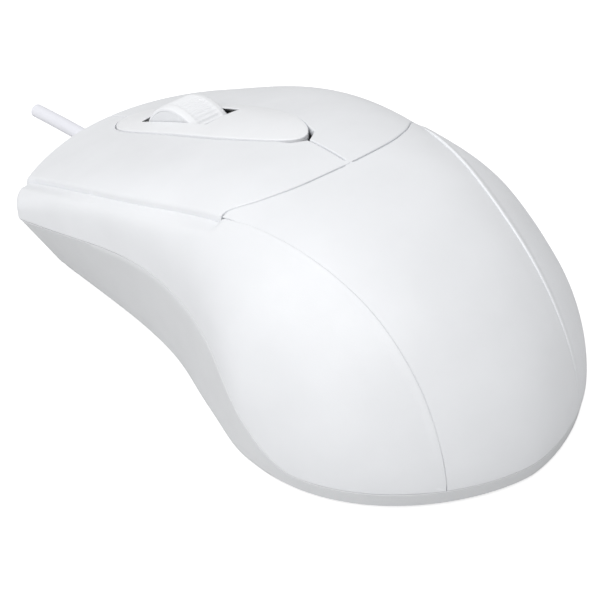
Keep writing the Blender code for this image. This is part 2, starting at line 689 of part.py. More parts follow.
def cradle_bracket(material):
    """A saddle on the board whose two ears hold the cradle's pin."""
    ear_x = CRADLE_ARM_X + CRADLE_ARM_THICK + EAR_GAP + EAR_THICK / 2
    saddle_long, saddle_high = SADDLE_SIZE
    saddle = upright((2 * ear_x + EAR_THICK, saddle_long), 0, CRADLE_PIVOT_AT, SEAT, SEAT + saddle_high)
    thing = object_from("cradle_bracket", saddle, material)
    high = CRADLE_PIVOT_Z + 3 * PIN_RADIUS
    ears = [upright((EAR_THICK, EAR_LONG), side * ear_x, CRADLE_PIVOT_AT, SEAT, high) for side in SIDES]
    combine(thing, "UNION", ears)
    hole = rod(PIN_RADIUS + RUNNING_GAP, 0.04, (0, CRADLE_PIVOT_AT, CRADLE_PIVOT_Z), "X", 16)
    return combine(thing, "DIFFERENCE", [hole])


def cradle_pin(material):
    centre = (0, CRADLE_PIVOT_AT, CRADLE_PIVOT_Z)
    pin = rod(PIN_RADIUS, PIN_LENGTH, centre, "X", 16)
    return rounded(object_from("cradle_pin", pin, material, centre))


def cradle_spring(material):
    """Compression coil under the cradle's front bar."""
    low = SEAT + SPRING_WIRE
    high = CRADLE_NOSE_BOTTOM - SPRING_WIRE - 0.00005
    curve = bpy.data.curves.new("cradle_spring", "CURVE")
    curve.dimensions = "3D"
    curve.bevel_depth = SPRING_WIRE
    curve.bevel_resolution = 1
    curve.use_fill_caps = True
    spline = curve.splines.new("POLY")
    count = SPRING_TURNS * SPRING_STEPS
    spline.points.add(count)
    for i, point in enumerate(spline.points):
        angle = 2 * math.pi * i / SPRING_STEPS
        height = low + (high - low) * i / count
        point.co = (SPRING_RADIUS * math.cos(angle), SPRING_RADIUS * math.sin(angle), height, 1)
    thing = bpy.data.objects.new("cradle_spring", curve)
    thing.location = (SPRING_X, CRADLE_NOSE_AT + HEEL_Y, 0)
    bpy.context.scene.collection.objects.link(thing)
    curve.materials.append(material)
    return thing


def detent_spring(material):
    """A bent strip standing on the board beside the hub, for the wheel's clicks."""
    top = SEAT + DETENT_HIGH
    foot = upright((0.0012, 0.0060), DETENT_X, DETENT_STEM_AT + 0.0025, SEAT, SEAT + 0.0004)
    thing = object_from("detent_spring", foot, material)
    stem = upright((0.0008, 0.0006), DETENT_X, DETENT_STEM_AT, SEAT, top + 0.0002)
    finger = block((0.0008, 0.0052, 0.0005), (DETENT_X, DETENT_STEM_AT + 0.0023, top))
    return combine(thing, "UNION", [stem, finger])


# ---------------------------------------------------------------- board and electronics

def main_board(material):
    """Circuit board with cut corners, an opening for the sensor and two screw holes."""
    inner = BOARD_HALF_WIDTH - BOARD_CUT
    right = [(inner, BOARD_REAR), (BOARD_HALF_WIDTH, BOARD_REAR + BOARD_CUT),
             (BOARD_HALF_WIDTH, BOARD_FRONT - BOARD_CUT), (inner, BOARD_FRONT)]
    outline = right + [(-x, y) for x, y in reversed(right)]
    thing = object_from("main_board", prism(outline, BOARD_BOTTOM, BOARD_TOP), material)
    holes = [upright(SENSOR_OPENING, 0, LENS_AT, 0.0, 2 * BOARD_TOP)]
    holes += [rod(0.0014, 0.01, (side * POST_X, POST_AT, BOARD_TOP), sides=16) for side in SIDES]
    return combine(thing, "DIFFERENCE", holes)


def push_switch(name, x, station, size, material):
    """A switch body with a well in its top for the plunger."""
    body = block(size, (x, station, SEAT + size[2] / 2), bevel=0.0003)
    thing = object_from(name, body, material)
    return combine(thing, "DIFFERENCE", [block(SWITCH_WELL, (x, station, SEAT + size[2]))])


def plunger(name, x, station, top, material):
    stem = upright(PLUNGER_PLAN, x, station, top - PLUNGER_ROOT, top + PLUNGER_RISE, bevel=0.0002)
    return object_from(name, stem, material, (x, station, top))


def on_board(name, size, place, material, bevel=0.0002):
    """A plain component standing on the board."""
    width, length, high = size
    return object_from(name, upright((width, length), *place, SEAT, SEAT + high, bevel), material)


def optical_set(clear, dark, red):
    """Sensor above the board, lens below it, and the lamp in its clip behind them."""
    on_board("optical_sensor", SENSOR_SIZE, (0, LENS_AT), dark)
    lens = block(LENS_SIZE, (0, LENS_AT, BASE_BOTTOM + 0.0021), 0.0004)
    lens = object_from("sensor_lens", lens, clear)
    combine(lens, "UNION", [rod(LENS_BARREL_RADIUS, 0.0030, (0, LENS_AT, BOARD_BOTTOM - 0.0002))])
    centre = (0, LAMP_AT, LAMP_Z)
    lamp = object_from("tracking_lamp", rod(LAMP_RADIUS, 0.0040, centre, "Y", 20), red, centre)
    combine(lamp, "UNION", [rod(LAMP_FLANGE_RADIUS, 0.0008, (0, LAMP_AT - 0.0022, LAMP_Z), "Y", 20)])
    clip = on_board("lamp_clip", CLIP_SIZE, (0, LAMP_AT + 0.0002), dark, 0.0003)
    combine(clip, "DIFFERENCE", [rod(LAMP_RADIUS + 0.0007, 0.02, centre, "Y", 20)])


def electronics(dark, metal, cream):
    on_board("controller_chip", CHIP_SIZE, CHIP_PLACE, dark)
    on_board("crystal", CRYSTAL_SIZE, CRYSTAL_PLACE, metal, 0.0006)
    can = rod(CAPACITOR_RADIUS, CAPACITOR_HIGH, (*CAPACITOR_PLACE, SEAT + CAPACITOR_HIGH / 2))
    rounded(object_from("capacitor", can, dark))
    for name, side in (("encoder_emitter", -1), ("encoder_detector", 1)):
        on_board(name, ENCODER_SIZE, (side * ENCODER_X, WHEEL_AT - ENCODER_BACK), dark, 0.0003)
    on_board("cable_socket", SOCKET_SIZE, SOCKET_PLACE, cream)
    low = SEAT + SOCKET_SIZE[2] + 0.00005
    plug = upright(PLUG_SIZE[:2], *SOCKET_PLACE, low, low + PLUG_SIZE[2], 0.0002)
    object_from("cable_plug", plug, cream)


# ---------------------------------------------------------------- cable, feet and fasteners

def cable_point(share, start):
    """The cable droops from level at the nose to its cut end."""
    y = start + (CABLE_END_AT - start) * share
    fall = np.clip((y - LAST_STATION) / (CABLE_END_AT - LAST_STATION), 0, 1)
    return 0.0, y, CABLE_Z - (CABLE_Z - CABLE_END_Z) * fall**CABLE_SAG_POWER


def tube_rings(bm, path, radius, sides):
    """Circles of vertices square to the cable's path."""
    rings = []
    last = len(path) - 1
    for i, (x, y, z) in enumerate(path):
        before, after = path[max(i - 1, 0)], path[min(i + 1, last)]
        slope = math.atan2(after[2] - before[2], after[1] - before[1])
        ring = []
        for angle in np.linspace(0, 2 * math.pi, sides, endpoint=False):
            out, up = radius * math.cos(angle), radius * math.sin(angle)
            ring.append(bm.verts.new((x + out, y - up * math.sin(slope), z + up * math.cos(slope))))
        rings.append(ring)
    for first, second in zip(rings, rings[1:]):
        join_loops(bm, first, second)
    return rings


def join_loops(bm, first, second):
    for k in range(len(first)):
        n = (k + 1) % len(first)
        bm.faces.new((first[k], first[n], second[n], second[k]))


def swept_tube(name, start, radius, sides, material, bore=0.0):
    """A tube, or a solid cord, along the cable's path."""
    path = [cable_point(i / CABLE_STEPS, start) for i in range(CABLE_STEPS + 1)]
    bm = bmesh.new()
    outer = tube_rings(bm, path, radius, sides)
    if bore:
        inner = tube_rings(bm, path, bore, sides)
        join_loops(bm, outer[0], inner[0])
        join_loops(bm, outer[-1], inner[-1])
    else:
        bm.faces.new(outer[0])
        bm.faces.new(outer[-1])
    return rounded(object_from(name, bm, material))


def cable_set(white, grey, copper):
    swept_tube("cable_jacket", JACKET_START, CABLE_RADIUS, 20, white, bore=CABLE_CORE_RADIUS + FIT_GAP)
    swept_tube("cable_core", CORE_START, CABLE_CORE_RADIUS, 12, copper)
    centre = (0, SLEEVE_AT, CABLE_Z)
    sleeve = object_from("strain_relief", rod(SLEEVE_RADIUS, SLEEVE_LENGTH, centre, "Y", 20), grey)
    combine(sleeve, "DIFFERENCE", [rod(CABLE_RADIUS + FIT_GAP, 0.01, centre, "Y", 20)])
    cross = block((0.0121, 0.0012, 0.0010), (-0.00625, LEAD_AT, CABLE_Z))
    wires = object_from("cable_wires", cross, copper)
    back = block((0.0010, 0.0270, 0.0008), (LEAD_X, 0.0920, CABLE_Z))
    rise = block((0.0008, 0.0008, 0.0060), (LEAD_X, 0.0789, CABLE_Z + 0.0026))
    combine(wires, "UNION", [back, rise])


def glide_pads(material):
    for end, (x, station) in PAD_PLACES.items():
        for hand, side in (("left", -1), ("right", 1)):
            pad = upright(PAD_SIZE, side * x, station, 0.0, PAD_TOP)
            object_from(f"glide_{end}_{hand}", pad, material)


def blank_label(material):
    """A plain sticker under the base, with nothing printed on it."""
    object_from("blank_label", block(LABEL_SIZE, (0, LABEL_AT, PAD_TOP - LABEL_SIZE[2])), material)


def screws(material):
    for hand, side in (("left", -1), ("right", 1)):
        centre = (side * SCREW_X, SCREW_AT, CASE_SCREW_Z)
        shank = rod(CASE_SCREW_RADIUS, CASE_SCREW_LENGTH, centre, sides=16)
        head = rod(CASE_HEAD_RADIUS, CASE_HEAD_HIGH, (*centre[:2], CASE_HEAD_Z), sides=20)
        combine(object_from("case_screw_" + hand, shank, material, centre), "UNION", [head])
        centre = (side * POST_X, POST_AT, SEAT)
        shank = rod(BOARD_SCREW_RADIUS, BOARD_SCREW_LENGTH, (*centre[:2], BOARD_SCREW_Z), sides=16)
        head = rod(BOARD_HEAD_RADIUS, BOARD_HEAD_HIGH, (*centre[:2], SEAT + BOARD_HEAD_HIGH / 2), sides=20)
        combine(object_from("board_screw_" + hand, shank, material, centre), "UNION", [head])


def build():
    clear_scene()
    white = plastic("white_shell", (0.86, 0.87, 0.88), 0.42)
    trim = plastic("white_trim", (0.84, 0.85, 0.86), 0.40)
    rubber = plastic("tyre_rubber", (0.74, 0.75, 0.77), 0.6)
    hub = plastic("hub_plastic", (0.80, 0.81, 0.83), 0.4)
    dark = plastic("black_plastic", (0.02, 0.02, 0.022), 0.5)
    cream = plastic("cream_plastic", (0.80, 0.77, 0.68), 0.45)
    board = plastic("board_green", (0.02, 0.16, 0.07), 0.5)
    steel = plastic("steel", (0.6, 0.6, 0.61), 0.3, 1.0)
    clear = plastic("clear_plastic", (0.85, 0.88, 0.9), 0.1)
    red = plastic("lamp_red", (0.7, 0.05, 0.04), 0.15)
    slide = plastic("glide_grey", (0.75, 0.76, 0.77), 0.35)
    jacket = plastic("cable_white", (0.84, 0.84, 0.87), 0.5)
    grey = plastic("grommet_grey", (0.6, 0.6, 0.62), 0.6)
    copper = plastic("conductor", (0.6, 0.35, 0.2), 0.5)
    hollow = inner_dome("hollow")
    key("left_key", -1, white, hollow)
    key("right_key", 1, white, hollow)
    palm_cover(white, hollow)
    side_shell(white, hollow)
    wheel_bezel(trim, hollow)
    base_case(trim)
    wheel_tyre(rubber)
    wheel_hub(hub)
    wheel_cradle(cream)
    cradle_bracket(cream)
    cradle_pin(steel)
    cradle_spring(steel)
    detent_spring(steel)
    main_board(board)
    for name, side in (("left", -1), ("right", 1)):
        push_switch(name + "_switch", side * SWITCH_X, SWITCH_AT, KEY_SWITCH_SIZE, dark)
        plunger(name + "_plunger", side * SWITCH_X, SWITCH_AT, SWITCH_TOP, cream)
    push_switch("middle_switch", TACT_X, CRADLE_NOSE_AT, TACT_SIZE, dark)
    plunger("middle_plunger", TACT_X, CRADLE_NOSE_AT, TACT_TOP, cream)
    optical_set(clear, dark, red)
    electronics(dark, steel, cream)
    cable_set(jacket, grey, copper)
    glide_pads(slide)
    blank_label(jacket)
    screws(steel)


build()
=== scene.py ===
"""Looks of the corded optical mouse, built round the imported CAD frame.

Metres, +Z up, +Y towards the cable. A station is a distance forward from the heel; HEEL_Y, read
from the frame, puts stations into the frame's Y. The outer skin follows the CAD part's dimensions,
and every visible piece is a fine mesh drawn on that skin, with finer seams than the CAD's gaps.
"""
import json
import math

import bmesh
import bpy
import numpy as np
from mathutils import Matrix, Vector
from mathutils.geometry import delaunay_2d_cdt


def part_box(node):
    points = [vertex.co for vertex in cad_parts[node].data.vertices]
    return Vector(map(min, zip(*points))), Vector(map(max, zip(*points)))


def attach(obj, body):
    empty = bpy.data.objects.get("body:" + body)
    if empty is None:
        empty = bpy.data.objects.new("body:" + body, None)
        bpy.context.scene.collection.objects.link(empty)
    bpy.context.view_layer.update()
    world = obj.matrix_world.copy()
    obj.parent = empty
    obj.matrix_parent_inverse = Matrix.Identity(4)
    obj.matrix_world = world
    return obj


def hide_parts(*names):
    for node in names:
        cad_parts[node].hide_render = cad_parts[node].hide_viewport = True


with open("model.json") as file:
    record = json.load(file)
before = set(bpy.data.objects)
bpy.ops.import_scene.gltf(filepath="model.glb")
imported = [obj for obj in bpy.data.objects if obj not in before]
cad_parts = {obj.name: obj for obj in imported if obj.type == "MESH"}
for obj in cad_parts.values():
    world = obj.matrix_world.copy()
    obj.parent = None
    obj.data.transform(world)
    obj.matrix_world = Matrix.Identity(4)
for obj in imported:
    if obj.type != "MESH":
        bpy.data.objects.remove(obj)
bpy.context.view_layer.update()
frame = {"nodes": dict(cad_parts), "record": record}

SLOTS = {part["node"]: part["material_slot"] for part in frame["record"]["subparts"]}
HEEL_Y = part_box("palm_cover")[0].y

# Skin of the body
LAST_STATION = 0.1055
NOSE_BULGE = 0.0105
BULGE_START = 0.040
BROADEST_AT = 0.033
HIGHEST_AT = 0.046
HEEL_EDGE = 0.0036
HALF_WIDTHS = ((BROADEST_AT, 0.0317), (0.0445, 0.0291), (0.056, 0.0267), (0.070, 0.0268), (0.087, 0.0280),
               (LAST_STATION, 0.0287))
CREST_HEIGHTS = ((HIGHEST_AT, 0.0390), (0.058, 0.0379), (0.070, 0.0343), (0.087, 0.0268),
                 (LAST_STATION, 0.0155))
PARTING_HEIGHTS = ((0.022, HEEL_EDGE), (0.032, 0.0078), (0.0415, 0.0140), (0.054, 0.0175),
                   (0.068, 0.0187), (0.087, 0.0152), (LAST_STATION, 0.0104))
HEEL_PLAN_POWERS = (2.2, 1.65)
HEEL_PROFILE_POWERS = (2.25, 1.68)
CROWN_HEEL, CROWN_GAIN = 2.0, 0.8
SHOULDER_SQUARENESS = ((0.0, 1.65), (0.019, 2.0), (0.037, 2.4), (0.052, 3.3), (0.070, 4.5),
                       (0.087, 5.0), (LAST_STATION, 5.4))
RIDGE_OFFSETS = ((0.010, 0.0145), (0.021, 0.0153), (0.037, 0.0181), (0.053, 0.0212), (0.070, 0.0242),
                 (0.087, 0.0249), (LAST_STATION, 0.0232))
WALL = 0.0016
NICK = 0.00003

# Seams and edges
SLIT_GAP = 0.00034
HAIRLINE = 0.00003
EGG_GAP = 0.00022
RIDGE_GAP = 0.00003
RIDGE_REACH = 0.02
BASE_SEAM = 0.00005
STEP_GAP = 0.00004
BRIDGE_REACH = 0.0006
BRIDGE_FRONT = 0.0444
SLIT_AT = 0.0434
SLIT_REACH = 0.0209
SLIT_LINE = ((0.0, SLIT_AT), (0.0060, 0.0438), (0.0100, 0.0446), (0.0140, 0.0463), (0.0172, 0.0484),
             (0.0190, 0.0500), (0.0200, 0.0506), (0.0212, 0.0503))
EDGE_ROUND = 0.00018
RIDGE_ROUND = 0.00003
HEEL_ROUND = 0.00010
SUPPORT = 0.00012
UNDER_ROUND = 0.0002
FIRST_STEP = 0.00040
RIM_SHARE = 0.45
KEY_EDGE_ROUND = 0.00040
NOSE_EDGE_ROUND = 0.00008
TIP_SHARE = 0.15
SHELF_DROP = 0.00108
SHELF_START = (0.0499, 0.0511)
SHELF_FADE = (0.0003, 0.0030)
BEAD_RISE = 0.00038
BEAD_END = (0.0440, 0.0496)
BEAD_FADE = (0.0002, 0.0013)
SHORT_STRIP = 0.004
FIRST_STRIP = 0.0008
NOSE_ROUND = 0.0012
CORNER_CUT = 0.0035
LIP_BOTTOM = 0.0130
LIP_GAP = 0.0009
LIP_INSET = 0.0003
FAN_LENGTH = 0.010
CORNER_BLEND = (0.004, 0.001)
DISH_X, DISH_AT, DISH_DEPTH = 0.0125, 0.074, 0.00055
DISH_SIZE = (0.0085, 0.026)
DISH_START = (0.050, 0.062)

# Wheel bezel
BEZEL_TAIL = 0.0552
BEZEL_BROADEST_AT = 0.084
BEZEL_FRONT = 0.1086
BEZEL_HALF_WIDTH = 0.0071
EGG_REAR_POWERS = (2.4, 1.9)
EGG_FRONT_POWERS = (4.5, 2.0)
BEZEL_PROUD = 0.00005
BEZEL_CROWN = 0.0009
BEZEL_ROUND = 0.00018
BEZEL_RIM = 0.0004
BEZEL_RIM_FADE = (0.0004, 0.0020)
BEZEL_SKIRT = 0.0138
NOTCH_APEX = 0.0537
NOTCH_CORNER = (0.0026, 0.0554)
NOTCH_JOIN = 0.0583
SLOT_HALF_WIDTH = 0.00382
SLOT_REAR = 0.0773
SLOT_FRONT = 0.0984
SLOT_CORNER = 0.0005
SLOT_ROUND = 0.00014
SLOT_APRON = 0.0028
APRON_START = (-0.0003, 0)
APRON_END = (0.0008, 0.0014)
APRON_SIDE = (0, 0.0006)

# Base
BASE_BOTTOM = 0.0005
BASE_FLOOR_TOP = 0.0021
BASE_EDGE = 0.0006
BASE_WALL = WALL + 0.0003
WINDOW_EASE = 0.0003
SCREW_X, SCREW_AT = 0.0100, 0.022
SCREW_WELL_RADIUS, SCREW_WELL_TOP = 0.0029, 0.0030
SCREW_BORE, CUP_RADIUS, CUP_TOP = 0.0015, 0.0042, 0.0046
LENS_AT = 0.052
LENS_WINDOW = (0.0120, 0.0180)
WINDOW_CORNER = 0.0012
BASE_TUCKS = ((BROADEST_AT, 0.0005), (0.043, 0.0001), (0.052, 0.0002), (0.060, 0.0016), (0.070, 0.0033),
              (0.085, 0.0047), (LAST_STATION, 0.0052))
TUCK_START = 0.045


# Curves and the skin

def smooth_curve(knots, flat_start=False):
    """A natural cubic spline through (station, value) knots; it is level at its start when asked."""
    xs, ys = (np.array(side, float) for side in zip(*knots))
    gaps = np.diff(xs)
    slopes = np.diff(ys) / gaps
    count = len(xs)
    system = np.eye(count)
    target = np.zeros(count)
    for i in range(1, count - 1):
        system[i, i - 1:i + 2] = gaps[i - 1], 2 * (gaps[i - 1] + gaps[i]), gaps[i]
        target[i] = 6 * (slopes[i] - slopes[i - 1])
    if flat_start:
        system[0, :2] = 2 * gaps[0], gaps[0]
        target[0] = 6 * slopes[0]
    bends = np.linalg.solve(system, target)

    def value(x):
        x = np.clip(np.asarray(x, float), xs[0], xs[-1])
        i = np.clip(np.searchsorted(xs, x) - 1, 0, count - 2)
        a = (xs[i + 1] - x) / gaps[i]
        b = 1 - a
        bent = (a**3 - a) * bends[i] + (b**3 - b) * bends[i + 1]
        return a * ys[i] + b * ys[i + 1] + bent * gaps[i]**2 / 6

    return value


def rounded_rise(share, outer, inner):
    """From 0 at share 1 up to 1 at share 0, along a superellipse."""
    return np.clip(1 - np.clip(share, 0, 1)**outer, 0, None)**(1 / inner)


def smoothstep(low, high, value):
    t = np.clip((np.asarray(value, float) - low) / (high - low), 0, 1)
    return t * t * (3 - 2 * t)


forward_half_width = smooth_curve(HALF_WIDTHS, flat_start=True)
forward_crest = smooth_curve(CREST_HEIGHTS, flat_start=True)
parting = smooth_curve(PARTING_HEIGHTS, flat_start=True)
shoulder_squareness = smooth_curve(SHOULDER_SQUARENESS)
ridge_offset = smooth_curve(RIDGE_OFFSETS)
base_tuck = smooth_curve(BASE_TUCKS)
slit_curve = smooth_curve(SLIT_LINE, flat_start=True)


def half_width(station):
    heel = HALF_WIDTHS[0][1] * rounded_rise((BROADEST_AT - station) / BROADEST_AT, *HEEL_PLAN_POWERS)
    return np.where(station < BROADEST_AT, heel, forward_half_width(station))


def crest(station):
    rise = CREST_HEIGHTS[0][1] - HEEL_EDGE
    heel = HEEL_EDGE + rise * rounded_rise((HIGHEST_AT - station) / HIGHEST_AT, *HEEL_PROFILE_POWERS)
    return np.where(station < HIGHEST_AT, heel, forward_crest(station))


def nose_bulge(station, across):
    """How far a section's middle runs ahead of its sides."""
    run = np.clip((station - BULGE_START) / (LAST_STATION - BULGE_START), 0, None)
    return NOSE_BULGE * run**4 * (1 - across**2)


def home_station(x, y):
    """(station, across) of the section that passes over plan points, found by walking back the bulge."""
    x, y = np.broadcast_arrays(np.asarray(x, float), np.asarray(y, float))
    home = y.copy()
    for _ in range(30):
        across = np.minimum(np.abs(x) / np.maximum(half_width(home), 1e-6), 1.0)
        home = y - nose_bulge(home, across)
    return home, across


def front_edge(x):
    """Station of the nose over each x, without its rounded corners."""
    across = np.clip(np.abs(x) / HALF_WIDTHS[-1][1], 0, 1)
    return LAST_STATION + NOSE_BULGE * (1 - across**2)


def fillet(distance, radius):
    """How far a rounded edge has dropped at a distance in from it."""
    inside = np.clip(radius - distance, 0, radius)
    return radius - np.sqrt(np.clip(radius**2 - inside**2, 0, None))


def skin_height(x, y):
    home, across = home_station(x, y)
    crown = CROWN_HEEL + CROWN_GAIN * home / LAST_STATION
    low = parting(home)
    return low + (crest(home) - low) * (1 - across**crown)**(1 / shoulder_squareness(home))


def top_height(x, y):
    """The skin with its nose edge rounded."""
    return skin_height(x, y) - fillet(front_edge(x) - y, NOSE_ROUND)


def finger_dish(x, y):
    """Shallow hollow for a fingertip along the middle of each key."""
    across = (np.abs(x) - DISH_X) / DISH_SIZE[0]
    along = (y - DISH_AT) / DISH_SIZE[1]
    return DISH_DEPTH * np.exp(-across**2 - along**2) * smoothstep(*DISH_START, y)


def key_height(x, y):
    return top_height(x, y) - finger_dish(x, y)


def first_station(half_of):
    """Where the body first grows as wide as half_of(station), near the heel."""
    low, high = 0.0, BROADEST_AT
    for _ in range(40):
        middle = (low + high) / 2
        low, high = (middle, high) if half_width(middle) < half_of(middle) else (low, middle)
    return high


RIDGE_HEEL = first_station(ridge_offset)


def slit_station(x):
    """The S-shaped slit between the palm cover and the keys."""
    return slit_curve(np.abs(x))


def slit_half_gap(distance):
    """Half the slit's width: it closes to a hairline over the bridge where the three slits would meet."""
    return HAIRLINE / 2 + (SLIT_GAP - HAIRLINE) / 2 * smoothstep(0, BRIDGE_REACH / 2, distance)


# Mesh building

SAME_POINT = 1e-7
NO_POINTS = np.empty((0, 2))
KEY_SPACING = 0.0009
BEZEL_SPACING = 0.0007
FLOOR_SPACING = 0.0035
NOSE_ROWS = (0.00025, 0.00045, 0.0007, 0.0010, 0.0014, 0.0019)
NOSE_MARGIN = 0.0008


def distance_along(path):
    return np.concatenate([[0], np.cumsum(np.linalg.norm(np.diff(path, axis=0), axis=1))])


def picked(path, along, wanted):
    """Points of a polyline at the wanted distances along it."""
    path = np.asarray(path, float)
    return np.stack([np.interp(wanted, along, path[:, k]) for k in range(path.shape[1])], axis=-1)


def evenly(path, count):
    """count + 1 points evenly spaced along a polyline."""
    along = distance_along(path)
    return picked(path, along, np.linspace(0, along[-1], count + 1))


def crowded(path, count):
    """count + 1 points along a polyline: a first step that clears a rounded rim, then growing steps."""
    along = distance_along(path)
    first = min(FIRST_STEP, 0.1 * along[-1])
    share = np.linspace(0, 1, count)
    growing = 0.3 * share + 0.7 * share**2
    return picked(path, along, np.concatenate([[0], first + (along[-1] - first) * growing]))


def piece(name, blocks, faces, node_name, body="shell", sharp=35, material=None):
    """A mesh from blocks of points in stations, moved to the frame and put on its CAD node's body.

    It has the finish of the node's slot, unless a material is given.
    """
    mesh = bpy.data.meshes.new(name)
    points = np.concatenate(blocks) + (0, HEEL_Y, 0)
    mesh.from_pydata(points.tolist(), [], [tuple(map(int, face)) for face in faces])
    bm = bmesh.new()
    bm.from_mesh(mesh)
    bmesh.ops.remove_doubles(bm, verts=bm.verts, dist=SAME_POINT)
    bmesh.ops.dissolve_degenerate(bm, edges=bm.edges, dist=SAME_POINT / 10)
    bmesh.ops.recalc_face_normals(bm, faces=bm.faces)
    bm.to_mesh(mesh)
    bm.free()
    mesh.shade_smooth()
    mesh.set_sharp_from_angle(angle=math.radians(sharp))
    mesh.materials.append(material or finishes[SLOTS[node_name]])
    thing = bpy.data.objects.new(name, mesh)
    bpy.context.scene.collection.objects.link(thing)
    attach(thing, body)
    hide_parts(node_name)
    return thing


def unit(vectors):
    return vectors / np.maximum(np.linalg.norm(vectors, axis=-1, keepdims=True), 1e-12)


def ring_faces(first, second):
    count = len(first)
    return [(first[k], first[(k + 1) % count], second[(k + 1) % count], second[k]) for k in range(count)]


def stack_faces(rings, closed=False, start=0):
    """Faces between rings of equally many points, numbered on from start; closed joins last to first."""
    count = len(rings[0])
    loops = [start + i * count + np.arange(count) for i in range(len(rings))]
    joined = loops[1:] + loops[:1] if closed else loops[1:]
    return [face for first, second in zip(loops, joined) for face in ring_faces(first, second)]


def rim_arc(steps=3):
    """(inset, drop) pairs in radii over a rounded rim, from the top down to the wall."""
    return [(1 - math.sin(a), 1 - math.cos(a)) for a in np.linspace(0, math.pi / 2, steps + 1)]


def support(radius):
    """Inset of the row that keeps the face inside a rounded rim flat."""
    return radius + np.minimum(0.9 * radius, SUPPORT)


def mitre(first, second):
    """The offset at a corner whose two edges face the first and second directions."""
    return (first + second) / np.maximum(1 + (first * second).sum(-1), 0.5)[:, None]


def sheet_shell(grid, radius, side_radius, start_radius, wall=WALL):
    """A closed shell under a grid of skin points, its rim rounded and its inside a wall below.

    The outer columns take side_radius, the first row start_radius; a fine grid limits both.
    """
    rows, columns = grid.shape[:2]
    normals = unit(np.cross(np.gradient(grid, axis=1), np.gradient(grid, axis=0)))
    if normals[rows // 2, columns // 2, 2] < 0:
        normals = -normals
    index = np.arange(rows * columns).reshape(rows, columns)
    rim = np.concatenate([index[0, :-1], index[:-1, -1], index[-1, :0:-1], index[:0:-1, 0]])
    flat, flat_normals = grid.reshape(-1, 3), normals.reshape(-1, 3)
    next_in = index[np.clip(rim // columns, 1, rows - 2), np.clip(rim % columns, 1, columns - 2)]
    room = np.linalg.norm(flat[next_in] - flat[rim], axis=1)
    radius = np.where(rim < columns, start_radius, radius)
    radius = np.where(np.isin(rim % columns, (0, columns - 1)), side_radius, radius)
    radius = np.minimum(radius, RIM_SHARE * room)[:, None]
    edge, up = flat[rim], flat_normals[rim]
    before, after = unit(edge - np.roll(edge, 1, 0)), unit(np.roll(edge, -1, 0) - edge)
    out = mitre(unit(np.cross(before, up)), unit(np.cross(after, up)))
    inner = index[rows // 2, columns // 2]
    if (out * (edge - flat[inner])).sum() < 0:
        out = -out
    top, floor = flat.copy(), flat - flat_normals * wall
    top[rim] = edge - out * support(radius)
    floor[rim] = edge - out * support(radius) - up * wall
    rings = [edge - out * radius * inset - up * radius * drop for inset, drop in rim_arc()]
    rings += [edge - up * (wall - radius / 2), edge - out * radius / 2 - up * wall]
    count, below = len(rim), len(flat) + len(rings) * len(rim)
    faces = []
    for base, turn in ((0, 1), (below, -1)):
        for i in range(rows - 1):
            for j in range(columns - 1):
                quad = (index[i, j], index[i, j + 1], index[i + 1, j + 1], index[i + 1, j])
                faces.append(tuple(base + k for k in quad[::turn]))
    loops = [rim, *(len(flat) + i * count + np.arange(count) for i in range(len(rings))), rim + below]
    for first, second in zip(loops, loops[1:]):
        faces += ring_faces(first, second)
    return [top, *rings, floor], faces


def moved_in(loop, distance):
    """A plan loop moved towards its material, which lies to the left of its direction of travel."""
    before, after = unit(loop - np.roll(loop, 1, 0)), unit(np.roll(loop, -1, 0) - loop)
    first = np.stack([-before[:, 1], before[:, 0]], -1)
    second = np.stack([-after[:, 1], after[:, 0]], -1)
    return loop + mitre(first, second) * np.broadcast_to(distance, len(loop))[:, None]


def is_inside(points, loops):
    """Even-odd test of plan points against closed loops."""
    crossed = np.zeros(len(points), bool)
    for loop in loops:
        for a, b in zip(loop, np.roll(loop, -1, 0)):
            spans = (a[1] > points[:, 1]) != (b[1] > points[:, 1])
            reach = a[0] + (points[:, 1] - a[1]) * (b[0] - a[0]) / (b[1] - a[1] + 1e-30)
            crossed ^= spans & (points[:, 0] < reach)
    return crossed


def plan_mesh(loops, extra, spacing):
    """Triangles inside plan loops: a triangular lattice of points, the extra points and the loops."""
    low, high = np.min(np.concatenate(loops), 0), np.max(np.concatenate(loops), 0)
    lattice = []
    for i, y in enumerate(np.arange(low[1], high[1], spacing * 0.866)):
        x = np.arange(low[0] + (i % 2) * spacing / 2, high[0], spacing)
        lattice.append(np.stack([x, np.full(len(x), y)], -1))
    lattice = np.concatenate(lattice)
    rim = np.concatenate([*loops, extra])
    nearest = np.array([np.min(np.sum((rim - p)**2, axis=1)) for p in lattice])
    free = np.concatenate([lattice[nearest > (0.62 * spacing)**2], extra])
    free = free[is_inside(free, loops)]
    edges, start = [], 0
    for loop in loops:
        edges += [(start + k, start + (k + 1) % len(loop)) for k in range(len(loop))]
        start += len(loop)
    points = np.concatenate([*loops, free])
    found = delaunay_2d_cdt([Vector(p * 1000) for p in points], edges, [], 0, 1e-6)
    vertices = np.array([tuple(v) for v in found[0]]) / 1000
    faces = np.array(found[2])
    centres = vertices[faces].mean(1)
    faces = faces[is_inside(centres, loops)]
    if len(vertices) != len(points):
        raise ValueError("the plan mesh split an edge")
    return vertices, faces


